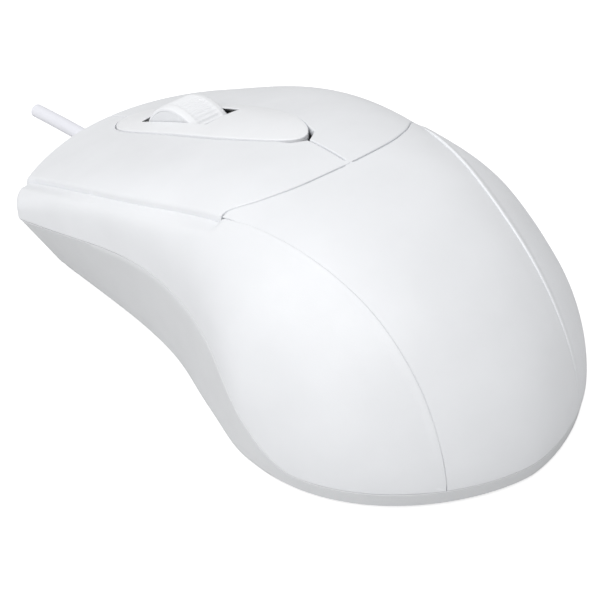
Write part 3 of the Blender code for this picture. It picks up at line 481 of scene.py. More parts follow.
def plan_plate(loops, height, bottom, radii, spacing, extra=NO_POINTS, steps=3):
    """A plate over plan loops: a fine top at height, rims rounded by the radii, and a floor at bottom."""
    radii = [np.broadcast_to(radius, len(loop)) for radius, loop in zip(radii, loops)]
    inset = [moved_in(loop, support(radius)) for loop, radius in zip(loops, radii)]
    plan, triangles = plan_mesh(inset, extra, spacing)
    points = [np.column_stack([plan, height(*plan.T)]), np.column_stack([plan, bottom(*plan.T)])]
    faces = [tuple(f) for f in triangles] + [tuple(f[::-1] + len(plan)) for f in triangles]
    start, first = 2 * len(plan), 0
    for loop, radius in zip(loops, radii):
        count = len(loop)
        rows = []
        for share, drop in rim_arc(steps):
            at = moved_in(loop, radius * share)
            rows.append(np.column_stack([at, height(*at.T) - radius * drop]))
        low = bottom(*loop.T)
        under = np.minimum(radius, UNDER_ROUND)
        rows += [np.column_stack([loop, low + under]), np.column_stack([moved_in(loop, under), low])]
        rim = first + np.arange(count)
        rings = [rim, *(start + i * count + np.arange(count) for i in range(len(rows))), rim + len(plan)]
        for upper, lower in zip(rings, rings[1:]):
            faces += ring_faces(upper, lower)
        points += rows
        start += len(rows) * count
        first += count
    return points, faces


# Materials

MOTTLE_SCALE = 90.0
SMEAR_SCALE = 260.0
GLOSS_SPREAD = 0.05


def node(tree, kind, inputs=(), **settings):
    made = tree.nodes.new(kind)
    for key, value in settings.items():
        setattr(made, key, value)
    for key, value in dict(inputs).items():
        if isinstance(value, bpy.types.NodeSocket):
            tree.links.new(value, made.inputs[key])
        else:
            made.inputs[key].default_value = value
    return made


def ramp(tree, factor, stops):
    """A ramp between two (place, colour) stops."""
    made = tree.nodes.new("ShaderNodeValToRGB")
    for element, (place, colour) in zip(made.color_ramp.elements, stops):
        element.position = place
        element.color = (*colour, 1.0)
    tree.links.new(factor, made.inputs["Fac"])
    return made.outputs["Color"]


def noise(tree, place, scale, detail):
    made = node(tree, "ShaderNodeTexNoise", {"Vector": place, "Scale": scale, "Detail": detail})
    return made.outputs["Fac"]


def grey(value):
    return (value, value, value)


def tinted(colour, factor):
    return tuple(min(1.0, c * factor) for c in colour)


def moulded(name, colour, roughness=0.45, grain=0.00002, grain_scale=5200, mottle=0.02, wear=0.05,
            **extra):
    """Moulded plastic: faint mottling, a fine spark-eroded grain, uneven gloss and worn edges."""
    material = bpy.data.materials.new(name)
    material.use_nodes = True
    tree = material.node_tree
    shader = tree.nodes["Principled BSDF"]
    place = node(tree, "ShaderNodeTexCoord").outputs["Object"]
    cloud = noise(tree, place, MOTTLE_SCALE, 4.0)
    base = ramp(tree, cloud, [(0.3, tinted(colour, 1 - mottle)), (0.7, tinted(colour, 1 + mottle))])
    edges = node(tree, "ShaderNodeNewGeometry").outputs["Pointiness"]
    rubbed = ramp(tree, edges, [(0.50, grey(0.0)), (0.62, grey(1.0))])
    bright = (*tinted(colour, 1 + wear), 1.0)
    worn = node(tree, "ShaderNodeMixRGB", {"Fac": rubbed, "Color1": base, "Color2": bright})
    tree.links.new(worn.outputs["Color"], shader.inputs["Base Color"])
    smear = noise(tree, place, SMEAR_SCALE, 5.0)
    gloss = ramp(tree, smear, [(0.3, grey(roughness - GLOSS_SPREAD)),
                               (0.7, grey(roughness + GLOSS_SPREAD))])
    tree.links.new(gloss, shader.inputs["Roughness"])
    fine = noise(tree, place, grain_scale, 2.0)
    bump = node(tree, "ShaderNodeBump", {"Height": fine, "Distance": grain, "Strength": 0.6})
    tree.links.new(bump.outputs["Normal"], shader.inputs["Normal"])
    for key, value in extra.items():
        shader.inputs[key].default_value = value
    return material


def circuit_board(name, colour):
    """Solder mask over a faint copper layout."""
    material = moulded(name, colour, roughness=0.35, grain=0.00001, grain_scale=9000, mottle=0.06)
    tree = material.node_tree
    shader = tree.nodes["Principled BSDF"]
    place = node(tree, "ShaderNodeTexCoord").outputs["Object"]
    shades = {socket: (*tinted(colour, factor), 1)
              for socket, factor in (("Color1", 1.0), ("Color2", 1.15), ("Mortar", 1.9))}
    layout = {"Vector": place, "Scale": 190.0, "Mortar Size": 0.05, **shades}
    tracks = node(tree, "ShaderNodeTexBrick", layout)
    tree.links.new(tracks.outputs["Color"], shader.inputs["Base Color"])
    return material


def brushed(name, colour):
    """Zinc-plated steel with fine scratches in its gloss."""
    material = moulded(name, colour, roughness=0.32, grain=0.00001, grain_scale=7000, mottle=0.05,
                       **{"Metallic": 1.0})
    tree = material.node_tree
    place = node(tree, "ShaderNodeTexCoord").outputs["Object"]
    drawn = node(tree, "ShaderNodeMapping", {"Vector": place, "Scale": (9000.0, 9000.0, 400.0)})
    lines = noise(tree, drawn.outputs["Vector"], 1.0, 3.0)
    gloss = ramp(tree, lines, [(0.3, grey(0.24)), (0.7, grey(0.46))])
    tree.links.new(gloss, tree.nodes["Principled BSDF"].inputs["Roughness"])
    return material


CLEAR = {"Transmission Weight": 0.9, "IOR": 1.49}
RED = {"Transmission Weight": 0.5, "IOR": 1.5}
PLASTICS = {
    "white_shell": dict(colour=(0.80, 0.812, 0.835)),
    "white_trim": dict(colour=(0.84, 0.85, 0.87), roughness=0.40, grain_scale=6500),
    "tyre_rubber": dict(colour=(0.84, 0.85, 0.87), roughness=0.6, grain=0.00003, mottle=0.03),
    "hub_plastic": dict(colour=(0.77, 0.78, 0.80), roughness=0.42),
    "cream_plastic": dict(colour=(0.80, 0.77, 0.68), roughness=0.38, mottle=0.03),
    "black_plastic": dict(colour=(0.025, 0.025, 0.027), roughness=0.5, mottle=0.15, wear=0.6),
    "clear_plastic": dict(colour=(0.85, 0.88, 0.90), roughness=0.10, grain=0.000002, **CLEAR),
    "lamp_red": dict(colour=(0.70, 0.05, 0.04), roughness=0.12, grain=0.000002, **RED),
    "conductor": dict(colour=(0.60, 0.35, 0.20), roughness=0.4, mottle=0.12),
    "cable_white": dict(colour=(0.79, 0.795, 0.845), roughness=0.5, grain=0.00003, mottle=0.025),
    "grommet_grey": dict(colour=(0.62, 0.63, 0.66), roughness=0.62, grain=0.00004, mottle=0.04),
    "glide_grey": dict(colour=(0.72, 0.73, 0.74), roughness=0.30, grain=0.00001, mottle=0.03),
    "label_white": dict(colour=(0.80, 0.80, 0.79), roughness=0.35),
}
INSULATION = {"lead_red": (0.55, 0.04, 0.03), "lead_green": (0.04, 0.30, 0.08),
              "lead_white": (0.75, 0.75, 0.75), "lead_black": (0.03, 0.03, 0.03)}


def looks():
    """One material for each of the record's slots."""
    made = {name: moulded(name, **settings) for name, settings in PLASTICS.items()}
    made["board_green"] = circuit_board("board_green", (0.02, 0.16, 0.07))
    made["steel"] = brushed("steel", (0.60, 0.60, 0.61))
    return made


def finish_carried_nodes(materials):
    """Gives every CAD node its slot's finish."""
    for name, thing in frame["nodes"].items():
        for holder in thing.material_slots:
            holder.material = materials[SLOTS[name]]


finishes = looks()
finish_carried_nodes(finishes)


# Outer shells

def palm_cover():
    """The hump: columns fan from the heel rim to the S-shaped slit."""
    bridge = BRIDGE_REACH / SLIT_REACH
    fine = np.array([-1.15, -0.8, -0.4, 0.0, 0.4, 0.8, 1.15]) * bridge
    outer = np.linspace(1.3 * bridge + 0.02, 1, 34)
    shares = np.concatenate([-outer[::-1], fine, outer])
    columns = []
    for share in shares:
        heel = first_station(lambda y: abs(share) * ridge_offset(y))
        tip = share * ridge_offset(slit_station(share * SLIT_REACH))
        last = slit_station(tip) - slit_half_gap(abs(tip) - BRIDGE_REACH)
        y = heel + (last - heel) * np.linspace(0, 1, 400)**2
        x = share * ridge_offset(y)
        x = np.clip(x, -half_width(y), half_width(y)) * (1 - RIDGE_GAP / 2 / RIDGE_REACH)
        z = skin_height(x, y)
        z[0] = parting(y[0])
        columns.append(evenly(np.stack([x, y, z], -1), 80))
    grid = np.stack(columns, axis=1)
    points, faces = sheet_shell(grid, EDGE_ROUND, RIDGE_ROUND, HEEL_ROUND)
    piece("palm_cover_skin", points, faces, "palm_cover")


def perimeter():
    """Plan of the right-hand parting line from the ridge's heel end round the nose corner to x = 0."""
    sides = np.linspace(RIDGE_HEEL, LAST_STATION, 300)
    side = np.stack([half_width(sides), sides], -1)
    xs = np.linspace(HALF_WIDTHS[-1][1], 0, 200)[1:]
    front = np.stack([xs, front_edge(xs)], -1)
    path = np.concatenate([side, front])
    along = distance_along(path)
    corner = along[len(side) - 1]
    near = np.abs(along - corner) < CORNER_CUT
    start, end = path[near][0], path[near][-1]
    t = ((along[near] - corner) / CORNER_CUT + 1)[:, None] / 2
    path[near] = (1 - t)**2 * start + 2 * t * (1 - t) * path[len(side) - 1] + t**2 * end
    return path, along, corner


def flank_strip(top, rim, station, is_front, count=40):
    """Skin points from the ridge (top, in plan) out to the parting line (rim), and down any nose wall."""
    t = np.linspace(0, 1, 240)
    t = np.unique(np.concatenate([t[:40] / 4, 1 - (1 - t[10:])**2.2]))
    plan = top + (rim - top) * t[:, None]
    distance = np.linalg.norm(rim - plan, axis=1)
    from_seam = distance.max() - distance
    shelf = SHELF_DROP * smoothstep(*SHELF_START, top[1]) * (1 - smoothstep(*SHELF_FADE, from_seam))
    bead = BEAD_RISE * (1 - smoothstep(*BEAD_END, top[1])) * (1 - smoothstep(*BEAD_FADE, from_seam))
    z = skin_height(*plan.T) - shelf + bead * smoothstep(0.0, SHORT_STRIP, distance.max())
    z = z - is_front * fillet(distance, NOSE_ROUND)
    low = float(parting(station))
    z = np.maximum(z, low)
    wall = np.column_stack([np.tile(rim, (12, 1)), np.linspace(z[-1], low, 12)])
    path = np.concatenate([np.column_stack([plan, z]), wall[1:]])
    return crowded(path, count)


def side_shell():
    """Both flanks and the low band round the nose, as one sheet of strips hung from the ridge lines."""
    path, along, corner = perimeter()
    ridge_end = float(ridge_offset(LAST_STATION)) + RIDGE_GAP / 2
    end_at = along[np.argmin(np.abs(path[:, 0] - ridge_end) + (path[:, 1] < LAST_STATION))]
    tops_y = np.linspace(RIDGE_HEEL, front_edge(ridge_end), 600)
    tops = np.stack([ridge_offset(tops_y) + RIDGE_GAP / 2, tops_y], -1)
    strips = []
    for share in FIRST_STRIP + (1 - FIRST_STRIP) * np.linspace(0, 1, 190)**1.3:
        rim_at = share * end_at
        rim = picked(path, along, rim_at)
        level = corner - FAN_LENGTH
        if rim_at < level:
            y = rim[1]
        else:
            first = np.interp(level, along, path[:, 1])
            y = first + (tops_y[-1] - first) * (rim_at - level) / (end_at - level)
        top = picked(tops, tops_y, y)
        is_front = float(smoothstep(corner - CORNER_BLEND[0], corner + CORNER_BLEND[1], rim_at))
        strips.append(flank_strip(top, rim, min(rim[1], LAST_STATION), is_front))
    low = float(parting(LAST_STATION))
    for x in np.linspace(ridge_end - LIP_INSET, 0, 40):
        y = float(front_edge(x))
        strips.append(crowded([(x, y, LIP_BOTTOM - LIP_GAP), (x, y, low)], 40))
    right = np.array(strips)
    left = right[::-1][1:] * (-1, 1, 1)
    points, faces = sheet_shell(np.concatenate([right, left]), EDGE_ROUND, EDGE_ROUND, EDGE_ROUND)
    piece("side_shell_skin", points, faces, "side_shell")


def bezel_half_width(station, grow=0.0):
    """Half width of the bezel's egg-shaped plan, grown all round by the given amount."""
    wide = BEZEL_HALF_WIDTH + grow
    rear = (BEZEL_BROADEST_AT - station) / (BEZEL_BROADEST_AT - BEZEL_TAIL + grow)
    front = (station - BEZEL_BROADEST_AT) / (BEZEL_FRONT - BEZEL_BROADEST_AT + grow)
    return wide * np.where(station < BEZEL_BROADEST_AT, rounded_rise(rear, *EGG_REAR_POWERS),
                           rounded_rise(front, *EGG_FRONT_POWERS))


def bezel_side(grow, count):
    """Evenly spaced plan points up the right side of the egg from its tail to its front."""
    share = 0.5 - 0.5 * np.cos(np.linspace(0, math.pi, 800))
    y = BEZEL_TAIL - grow + (BEZEL_FRONT - BEZEL_TAIL + 2 * grow) * share
    x = bezel_half_width(y, grow)
    x[[0, -1]] = 0
    return evenly(np.stack([x, y], -1), count)


def key_outline(side):
    """Plan loop of a key and the rounding radius at each of its points."""
    half = SLIT_GAP / 2
    tip = float(ridge_offset(slit_station(SLIT_REACH))) - RIDGE_GAP / 2
    bridge = np.linspace(HAIRLINE / 2, BRIDGE_REACH * 1.6, 12)
    x = np.concatenate([bridge, np.linspace(bridge[-1], tip, 44)[1:]])
    slit = np.stack([x, slit_station(x) + slit_half_gap(x - BRIDGE_REACH)], -1)
    corner_x = float(ridge_offset(LAST_STATION)) - RIDGE_GAP / 2 - STEP_GAP
    ridge_y = np.linspace(slit[-1, 1], front_edge(corner_x), 130)[1:]
    ridge = np.stack([ridge_offset(ridge_y) - RIDGE_GAP / 2 - STEP_GAP, ridge_y], -1)
    nose_x = np.linspace(ridge[-1, 0], half, 52)[1:]
    nose = np.stack([nose_x, front_edge(nose_x)], -1)
    egg = bezel_side(EGG_GAP, 150)[::-1]
    egg = egg[(egg[:, 0] > half * 1.5) & (egg[:, 1] > NOTCH_JOIN)]
    split_front = evenly([nose[-1], (half, egg[0][1] + 0.0001)], 15)[1:]
    notch = evenly([egg[-1], NOTCH_CORNER], 6)[1:]
    apex = evenly([NOTCH_CORNER, (half, NOTCH_APEX)], 6)[1:]
    narrow = BRIDGE_FRONT + BRIDGE_REACH
    split_y = np.concatenate([np.linspace(NOTCH_APEX, narrow, 22)[1:],
                              np.linspace(narrow, slit[0, 1], 12)[1:-1]])
    split = np.stack([slit_half_gap(split_y - BRIDGE_FRONT), split_y], -1)
    parts = [(slit, EDGE_ROUND), (ridge, KEY_EDGE_ROUND), (nose, NOSE_EDGE_ROUND)]
    parts += [(line, EDGE_ROUND) for line in (split_front, egg, notch, apex, split)]
    loop = np.concatenate([points for points, _ in parts])
    radius = np.concatenate([np.full(len(points), r) for points, r in parts])
    from_tip = np.hypot(loop[:, 0], loop[:, 1] - SLIT_AT)
    away = smoothstep(BRIDGE_REACH, BRIDGE_REACH * 2, from_tip)
    radius = radius * (TIP_SHARE + (1 - TIP_SHARE) * away)
    loop = loop * (side, 1)
    return (loop, radius) if side > 0 else (loop[::-1], radius[::-1])


def nose_rows(side):
    """Extra plan points close behind the nose edge, where the key rolls over."""
    rows = []
    for distance in NOSE_ROWS:
        x = np.arange(NOSE_MARGIN, ridge_offset(LAST_STATION) - NOSE_MARGIN, BEZEL_SPACING)
        rows.append(np.stack([side * x, front_edge(x) - distance], -1))
    return np.concatenate(rows)


def key(name, side):
    loop, radius = key_outline(side)

    def underside(x, y):
        return np.maximum(key_height(x, y) - WALL, LIP_BOTTOM)

    points, faces = plan_plate([loop], key_height, underside, [radius], KEY_SPACING, nose_rows(side))
    piece(name + "_plate", points, faces, name, body=name)


def slot_loop():
    """Rounded rectangle of the wheel slot, running clockwise so that its material is outside."""
    points = rounded_box(0, (SLOT_REAR + SLOT_FRONT) / 2, 2 * SLOT_HALF_WIDTH, SLOT_FRONT - SLOT_REAR,
                         SLOT_CORNER)
    return evenly([*points, points[0]], 130)[:-1][::-1]


def bezel_height(x, y):
    """The bezel swells above the skin towards its middle, where the wheel comes through."""
    half = np.maximum(bezel_half_width(y), 1e-6)
    swell = np.clip(1 - (x / half)**2, 0, 1) * (half / BEZEL_HALF_WIDTH)**2
    return skin_height(x, y) + BEZEL_PROUD + BEZEL_CROWN * swell


def wheel_bezel():
    right = bezel_side(0.0, 90)
    outline = np.concatenate([right[:-1], (right * (-1, 1))[:0:-1]])

    def floor(x, y):
        beside = np.abs(x) - SLOT_HALF_WIDTH
        beyond = np.maximum(y - SLOT_FRONT, SLOT_REAR - y)
        from_slot = np.hypot(np.clip(beside, 0, None), np.clip(beyond, 0, None))
        wall = BEZEL_RIM + (WALL - BEZEL_RIM) * smoothstep(*BEZEL_RIM_FADE, from_slot)
        behind = SLOT_REAR - y
        apron = smoothstep(*APRON_START, behind) * (1 - smoothstep(*APRON_END, behind))
        wall = wall + SLOT_APRON * apron * (1 - smoothstep(*APRON_SIDE, beside))
        return np.maximum(bezel_height(x, y) - wall, BEZEL_SKIRT)

    points, faces = plan_plate([outline, slot_loop()], bezel_height, floor, [BEZEL_ROUND, SLOT_ROUND],
                               BEZEL_SPACING, steps=8)
    piece("wheel_bezel_island", points, faces, "wheel_bezel")


def base_outline():
    """Whole plan of the parting line as a closed loop, with its outward directions and stations."""
    heel_y = RIDGE_HEEL * (1 - np.cos(np.linspace(0, math.pi / 2, 30)))[:-1]
    heel = np.stack([half_width(heel_y), heel_y], -1)
    path, _, _ = perimeter()
    right = evenly(np.concatenate([heel, path]), 170)
    return np.concatenate([right, (right * (-1, 1))[-2:0:-1]])


def circle(x, y, radius, count=40):
    """A counter-clockwise plan circle."""
    angle = np.linspace(0, 2 * math.pi, count, endpoint=False)
    return np.stack([x + radius * np.cos(angle), y + radius * np.sin(angle)], -1)


def rounded_box(x, y, width, length, corner, steps=8):
    """A counter-clockwise rounded rectangle in plan."""
    points = []
    for quarter, (sx, sy) in enumerate(((1, 1), (-1, 1), (-1, -1), (1, -1))):
        for angle in np.linspace(0, math.pi / 2, steps + 1) + quarter * math.pi / 2:
            points.append((x + sx * (width / 2 - corner) + corner * math.cos(angle),
                           y + sy * (length / 2 - corner) + corner * math.sin(angle)))
    return np.array(points)


def base_rings():
    """Rings of the tub's wall, outside from the rim down and inside from the floor up."""
    x, y = base_outline().T
    station = np.minimum(y, LAST_STATION)
    heel = np.clip(1 - y / BROADEST_AT, 0, 1)
    nose = np.clip((y - TUCK_START) / (LAST_STATION - TUCK_START), 0, 1)**2
    across = x / np.maximum(half_width(station), 1e-6)
    top = parting(station) - BASE_SEAM

    def ring(drop, inset, low=BASE_BOTTOM):
        curl = inset + base_tuck(station) * drop
        return np.column_stack([x - curl * np.sqrt(1 - heel**2) * across, y + curl * (heel - nose),
                                top + (low - top) * drop])

    outer = [ring(0.0, 0.0001), ring(0.0, NICK) - (0, 0, NICK), ring(0.0, 0.0) - (0, 0, 0.0001)]
    outer += [ring(d, 0.0) for d in np.linspace(0.08, 0.86, 16)]
    outer += [ring(1.0, BASE_EDGE * (1 - math.cos(a)), BASE_BOTTOM + BASE_EDGE * (1 - math.sin(a)))
              for a in np.linspace(0, math.pi / 2, 5)]
    inner = [ring(d, BASE_WALL, BASE_FLOOR_TOP) for d in (1.0, 0.8, 0.6, 0.4, 0.2)] + [ring(0.0, WALL)]
    return outer, inner


def at_height(plan, z):
    return np.column_stack([plan, np.full(len(plan), z)])


def hole_walls():
    """Loops through the floor: a screw cup on each side and the sensor's window, from below upwards."""
    cup = ((SCREW_WELL_RADIUS, BASE_BOTTOM), (SCREW_WELL_RADIUS, SCREW_WELL_TOP),
           (SCREW_BORE, SCREW_WELL_TOP), (SCREW_BORE, CUP_TOP), (CUP_RADIUS, CUP_TOP),
           (CUP_RADIUS, BASE_FLOOR_TOP))
    walls = [[at_height(circle(side * SCREW_X, SCREW_AT, radius), z) for radius, z in cup]
             for side in (-1, 1)]
    ease = WINDOW_EASE
    wide, long = LENS_WINDOW
    rim = rounded_box(0, LENS_AT, wide + 2 * ease, long + 2 * ease, WINDOW_CORNER + ease)
    window = rounded_box(0, LENS_AT, wide, long, WINDOW_CORNER)
    walls.append([at_height(rim, BASE_BOTTOM), at_height(window, BASE_BOTTOM + ease),
                  at_height(window, BASE_FLOOR_TOP)])
    return walls


def base_case(material):
    """The white tub with its floor, screw wells and sensor window."""
    outer, inner = base_rings()
    walls = hole_walls()
    points, faces = [], []
    for rows in (outer, inner + [outer[0]], *walls):
        faces += stack_faces(rows, start=sum(len(block) for block in points))
        points += rows
    for edge, level in ((outer[-1], 0), (inner[0], -1)):
        loops = [edge[:, :2]] + [wall[level][:, :2] for wall in walls]
        plan, triangles = plan_mesh(loops, NO_POINTS, FLOOR_SPACING)
        start = sum(len(block) for block in points)
        points.append(at_height(plan, edge[0, 2]))
        faces.extend([tuple(f + start) for f in triangles])
    piece("base_tub", points, faces, "base_case", sharp=40, material=material)


# Wheel

SIDE_PLAY = 0.00012
tyre_low, tyre_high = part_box("wheel_tyre")
WHEEL_CENTRE = (tyre_low + tyre_high) / 2
WHEEL_AT = WHEEL_CENTRE.y - HEEL_Y
WHEEL_RADIUS = (tyre_high.z - tyre_low.z) / 2
WHEEL_HALF_WIDTH = (tyre_high.x - tyre_low.x) / 2 - SIDE_PLAY
TYRE_DEPTH = 0.0008
HUB_WEB = 0.0024
HUB_FLUSH = 0.0048
HUB_BOSS = 0.0032
AXLE_RADIUS = 0.0014
RIBS = 72
RIB_DEPTH = 0.00020
TREAD_HALF_WIDTH = 0.0025
BAND_DROP = 0.00020
SHOULDER_ROUND = 0.00030
BEVEL = 0.0002
BOSS_INSET = 0.0003


def turned(profile, count, ripple=None):
    """Closed rings about the wheel's axle: profile points are (x, radius), going round once."""
    profile = np.asarray(profile, float)
    rings = []
    for i in range(count):
        angle = 2 * math.pi * i / count
        radius = profile[:, 1] + (ripple(profile[:, 0], angle) if ripple else 0)
        rings.append(np.stack([profile[:, 0], WHEEL_AT + radius * math.cos(angle),
                               WHEEL_CENTRE.z + radius * math.sin(angle)], -1))
    return rings, stack_faces(rings, closed=True)


def wheel_tyre():
    """Ribbed rubber tread between two smooth rounded shoulders."""
    wide, top, low = WHEEL_HALF_WIDTH, WHEEL_RADIUS, WHEEL_RADIUS - TYRE_DEPTH
    band = [(x, top - BAND_DROP * smoothstep(TREAD_HALF_WIDTH, wide, x))
            for x in np.linspace(TREAD_HALF_WIDTH, wide - SHOULDER_ROUND, 6)]
    centre = top - BAND_DROP - SHOULDER_ROUND
    shoulder = [(wide - SHOULDER_ROUND * (1 - math.sin(a)), centre + SHOULDER_ROUND * math.cos(a))
                for a in np.linspace(0.2, math.pi / 2, 6)]
    tread = [(x, top) for x in np.linspace(-TREAD_HALF_WIDTH + 0.0001, TREAD_HALF_WIDTH - 0.0001, 13)]
    side = [(wide, centre - 0.00008), (wide, low + BEVEL), (wide, low + NICK), (wide - NICK, low)]
    right = band + shoulder + side
    profile = [(-x, r) for x, r in reversed(right)] + tread + right

    def ribs(x, angle):
        inside = 1 - smoothstep(TREAD_HALF_WIDTH - 0.0003, TREAD_HALF_WIDTH, np.abs(x))
        return -RIB_DEPTH * inside * (0.5 - 0.5 * math.cos(RIBS * angle))**0.7

    points, faces = turned(profile, RIBS * 8, ribs)
    piece("ribbed_tyre", points, faces, "wheel_tyre", body="wheel", sharp=50)


def wheel_hub():
    """Hub with a flush outer ring, a thinner web, a boss and the two axle stubs."""
    low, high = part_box("wheel_hub")
    axle_end = (high.x - low.x) / 2
    face, rim = WHEEL_HALF_WIDTH, WHEEL_RADIUS - TYRE_DEPTH - NICK
    boss = face - BOSS_INSET
    right = [(face - NICK, rim), (face, rim - NICK), (face, rim - BEVEL), (face, HUB_FLUSH),
             (face - BEVEL, HUB_FLUSH - BEVEL), (HUB_WEB, HUB_FLUSH - 2 * BEVEL),
             (HUB_WEB, HUB_BOSS + 2 * BEVEL), (boss, HUB_BOSS), (boss, AXLE_RADIUS + BEVEL / 2),
             (face - BEVEL, AXLE_RADIUS), (axle_end - BOSS_INSET, AXLE_RADIUS),
             (axle_end, AXLE_RADIUS - BOSS_INSET), (axle_end, 0)]
    profile = [(-x, r) for x, r in reversed(right)] + right
    points, faces = turned(profile, 144)
    piece("smooth_hub", points, faces, "wheel_hub", body="wheel", sharp=30)


# Cable

jacket_low, jacket_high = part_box("cable_jacket")
core_low, core_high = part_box("cable_core")
sleeve_low, sleeve_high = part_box("strain_relief")
CABLE_RADIUS = (jacket_high.x - jacket_low.x) / 2
CORE_RADIUS = (core_high.x - core_low.x) / 2
CABLE_Z = (sleeve_low.z + sleeve_high.z) / 2
CABLE_START = jacket_low.y - HEEL_Y
CABLE_END = jacket_high.y - HEEL_Y - 0.0002
CABLE_END_Z = 0.0042
SAG_POWER = 1.6
SLOPE_REACH = 0.0005
CUT_BEVEL = 0.00015
LEADS, LEAD_SIDES = 4, 14
LEAD_RADIUS = 0.00034
LEAD_LAY = 0.018
SLEEVE_TIP = 0.1185
SLEEVE_RIBS, SLEEVE_RIB_DEPTH = 6, 0.00018
SLEEVE_SHARE, SLEEVE_WALL = 0.66, 0.0004


def cable_height(y):
    """The cable droops from level at the nose to its cut end."""
    fall = np.clip((y - LAST_STATION) / (CABLE_END - LAST_STATION), 0, 1)
    return CABLE_Z - (CABLE_Z - CABLE_END_Z) * fall**SAG_POWER


def tube(stations, radii, sides, offset=lambda y: (0.0, 0.0)):
    """Rings of a tube along the cable; each station has its radius, and offset(y) moves the centre."""
    rings = []
    angle = np.linspace(0, 2 * math.pi, sides, endpoint=False)
    for y, radius in zip(stations, radii):
        rise = cable_height(y + SLOPE_REACH) - cable_height(y - SLOPE_REACH)
        slope = math.atan2(rise, 2 * SLOPE_REACH)
        x, up = offset(y)
        high = up + radius * np.sin(angle)
        rings.append(np.stack([x + radius * np.cos(angle), y - high * math.sin(slope),
                               cable_height(y) + high * math.cos(slope)], -1))
    return rings


def cable_jacket():
    """Jacket with a clean cut end, hollow round its leads."""
    along = np.linspace(CABLE_START, CABLE_END - CUT_BEVEL, 90)
    bore = CORE_RADIUS + 0.00004
    stations = [CABLE_START, *along, CABLE_END, CABLE_END, CABLE_END - 0.0001, *along[::-1], CABLE_START]
    radii = [bore, *[CABLE_RADIUS] * 90, CABLE_RADIUS - CUT_BEVEL, bore + 0.0001, bore, *[bore] * 90, bore]
    rings = tube(stations, radii, 36)
    piece("cut_cable_jacket", rings, stack_faces(rings), "cable_jacket")


def cable_leads(colours, copper):
    """Insulated leads twisted together inside the jacket, each with a bright end at the cut."""
    rings, faces, shades = [], [], []
    twist = CORE_RADIUS - LEAD_RADIUS - 0.00002
    end = CABLE_END - 0.00005
    stations = [CABLE_START, *np.linspace(CABLE_START, end, 80), end, end + 0.00001, end + 0.00001]
    radii = [0.0, *[LEAD_RADIUS] * 80, LEAD_RADIUS * 0.55, LEAD_RADIUS * 0.55, 0.0]
    for lead in range(LEADS):
        start = 2 * math.pi * lead / LEADS

        def offset(y):
            angle = start + 2 * math.pi * y / LEAD_LAY
            return twist * math.cos(angle), twist * math.sin(angle)

        strand = tube(stations, radii, LEAD_SIDES, offset)
        faces += stack_faces(strand, start=len(rings) * LEAD_SIDES)
        rings += strand
        shades += [lead] * (len(strand) - 3) * LEAD_SIDES + [LEADS] * 2 * LEAD_SIDES
    thing = piece("cable_leads", rings, faces, "cable_core", material=colours[0])
    for material in [*colours[1:], copper]:
        thing.data.materials.append(material)
    thing.data.polygons.foreach_set("material_index", shades)


def strain_relief():
    """Soft ribbed sleeve that carries the cable out under the nose."""
    bore = CABLE_RADIUS + 0.00003
    flange = (sleeve_high.x - sleeve_low.x) / 2
    start, step = sleeve_low.y - HEEL_Y, sleeve_high.y - HEEL_Y
    broad, slim = flange * SLEEVE_SHARE, CABLE_RADIUS + SLEEVE_WALL
    ribs = np.linspace(step, SLEEVE_TIP, 41)
    share = (ribs - step) / (SLEEVE_TIP - step)
    grooves = broad - (broad - slim) * share
    grooves -= SLEEVE_RIB_DEPTH * (0.5 - 0.5 * np.cos(2 * math.pi * SLEEVE_RIBS * share))
    end = SLEEVE_TIP + BEVEL / 2
    stations = [start, start, start + BEVEL, step - BEVEL, step, *ribs, end, end, start]
    radii = [bore, flange - BEVEL, flange, flange, flange - BEVEL, *grooves, grooves[-1] - BEVEL]
    radii += [bore, bore]
    rings = tube(stations, radii, 44)
    piece("ribbed_strain_relief", rings, stack_faces(rings), "strain_relief", sharp=50)


# Feet, label and screws

def plan_centre(low, high):
    return (low.x + high.x) / 2, (low.y + high.y) / 2 - HEEL_Y


def pillow(name, node_name, corner, edge):
    """A thin plate with rounded corners and rounded edges, filling a CAD node's box."""
    low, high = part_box(node_name)
    x, y = plan_centre(low, high)
    width, length = high.x - low.x, high.y - low.y
    loops = []
    for inset, z in ((edge, low.z), (0.3 * edge, low.z + 0.3 * edge), (0, low.z + edge),
                     (0, high.z - edge / 4), (edge / 4, high.z)):
        plan = rounded_box(x, y, width - 2 * inset, length - 2 * inset, corner - inset)
        loops.append(at_height(plan, z))
    count = len(loops[0])
    ends = [tuple(range(count)), tuple(range((len(loops) - 1) * count, len(loops) * count))]
    piece(name, loops, stack_faces(loops) + ends, node_name, sharp=50)


def glide_pads():
    for place in ("front_left", "front_right", "rear_left", "rear_right"):
        pillow("rounded_glide_" + place, "glide_" + place, 0.0024, 0.00016)


HEAD_CROWN = 0.00035
RECESS_DEPTH = 0.0006
THREAD_PITCH = 0.0007
THREAD_DEPTH = 0.00025


def cross_recess(x, y, size):
    """How deep a cross-shaped driver recess is at points of a screw head, from 0 to 1."""
    arm = np.maximum(np.abs(x), np.abs(y)) / size
    slot = np.minimum(np.abs(x), np.abs(y)) / size
    return (1 - smoothstep(0.75, 1.0, arm)) * (1 - smoothstep(0.16, 0.26, slot))


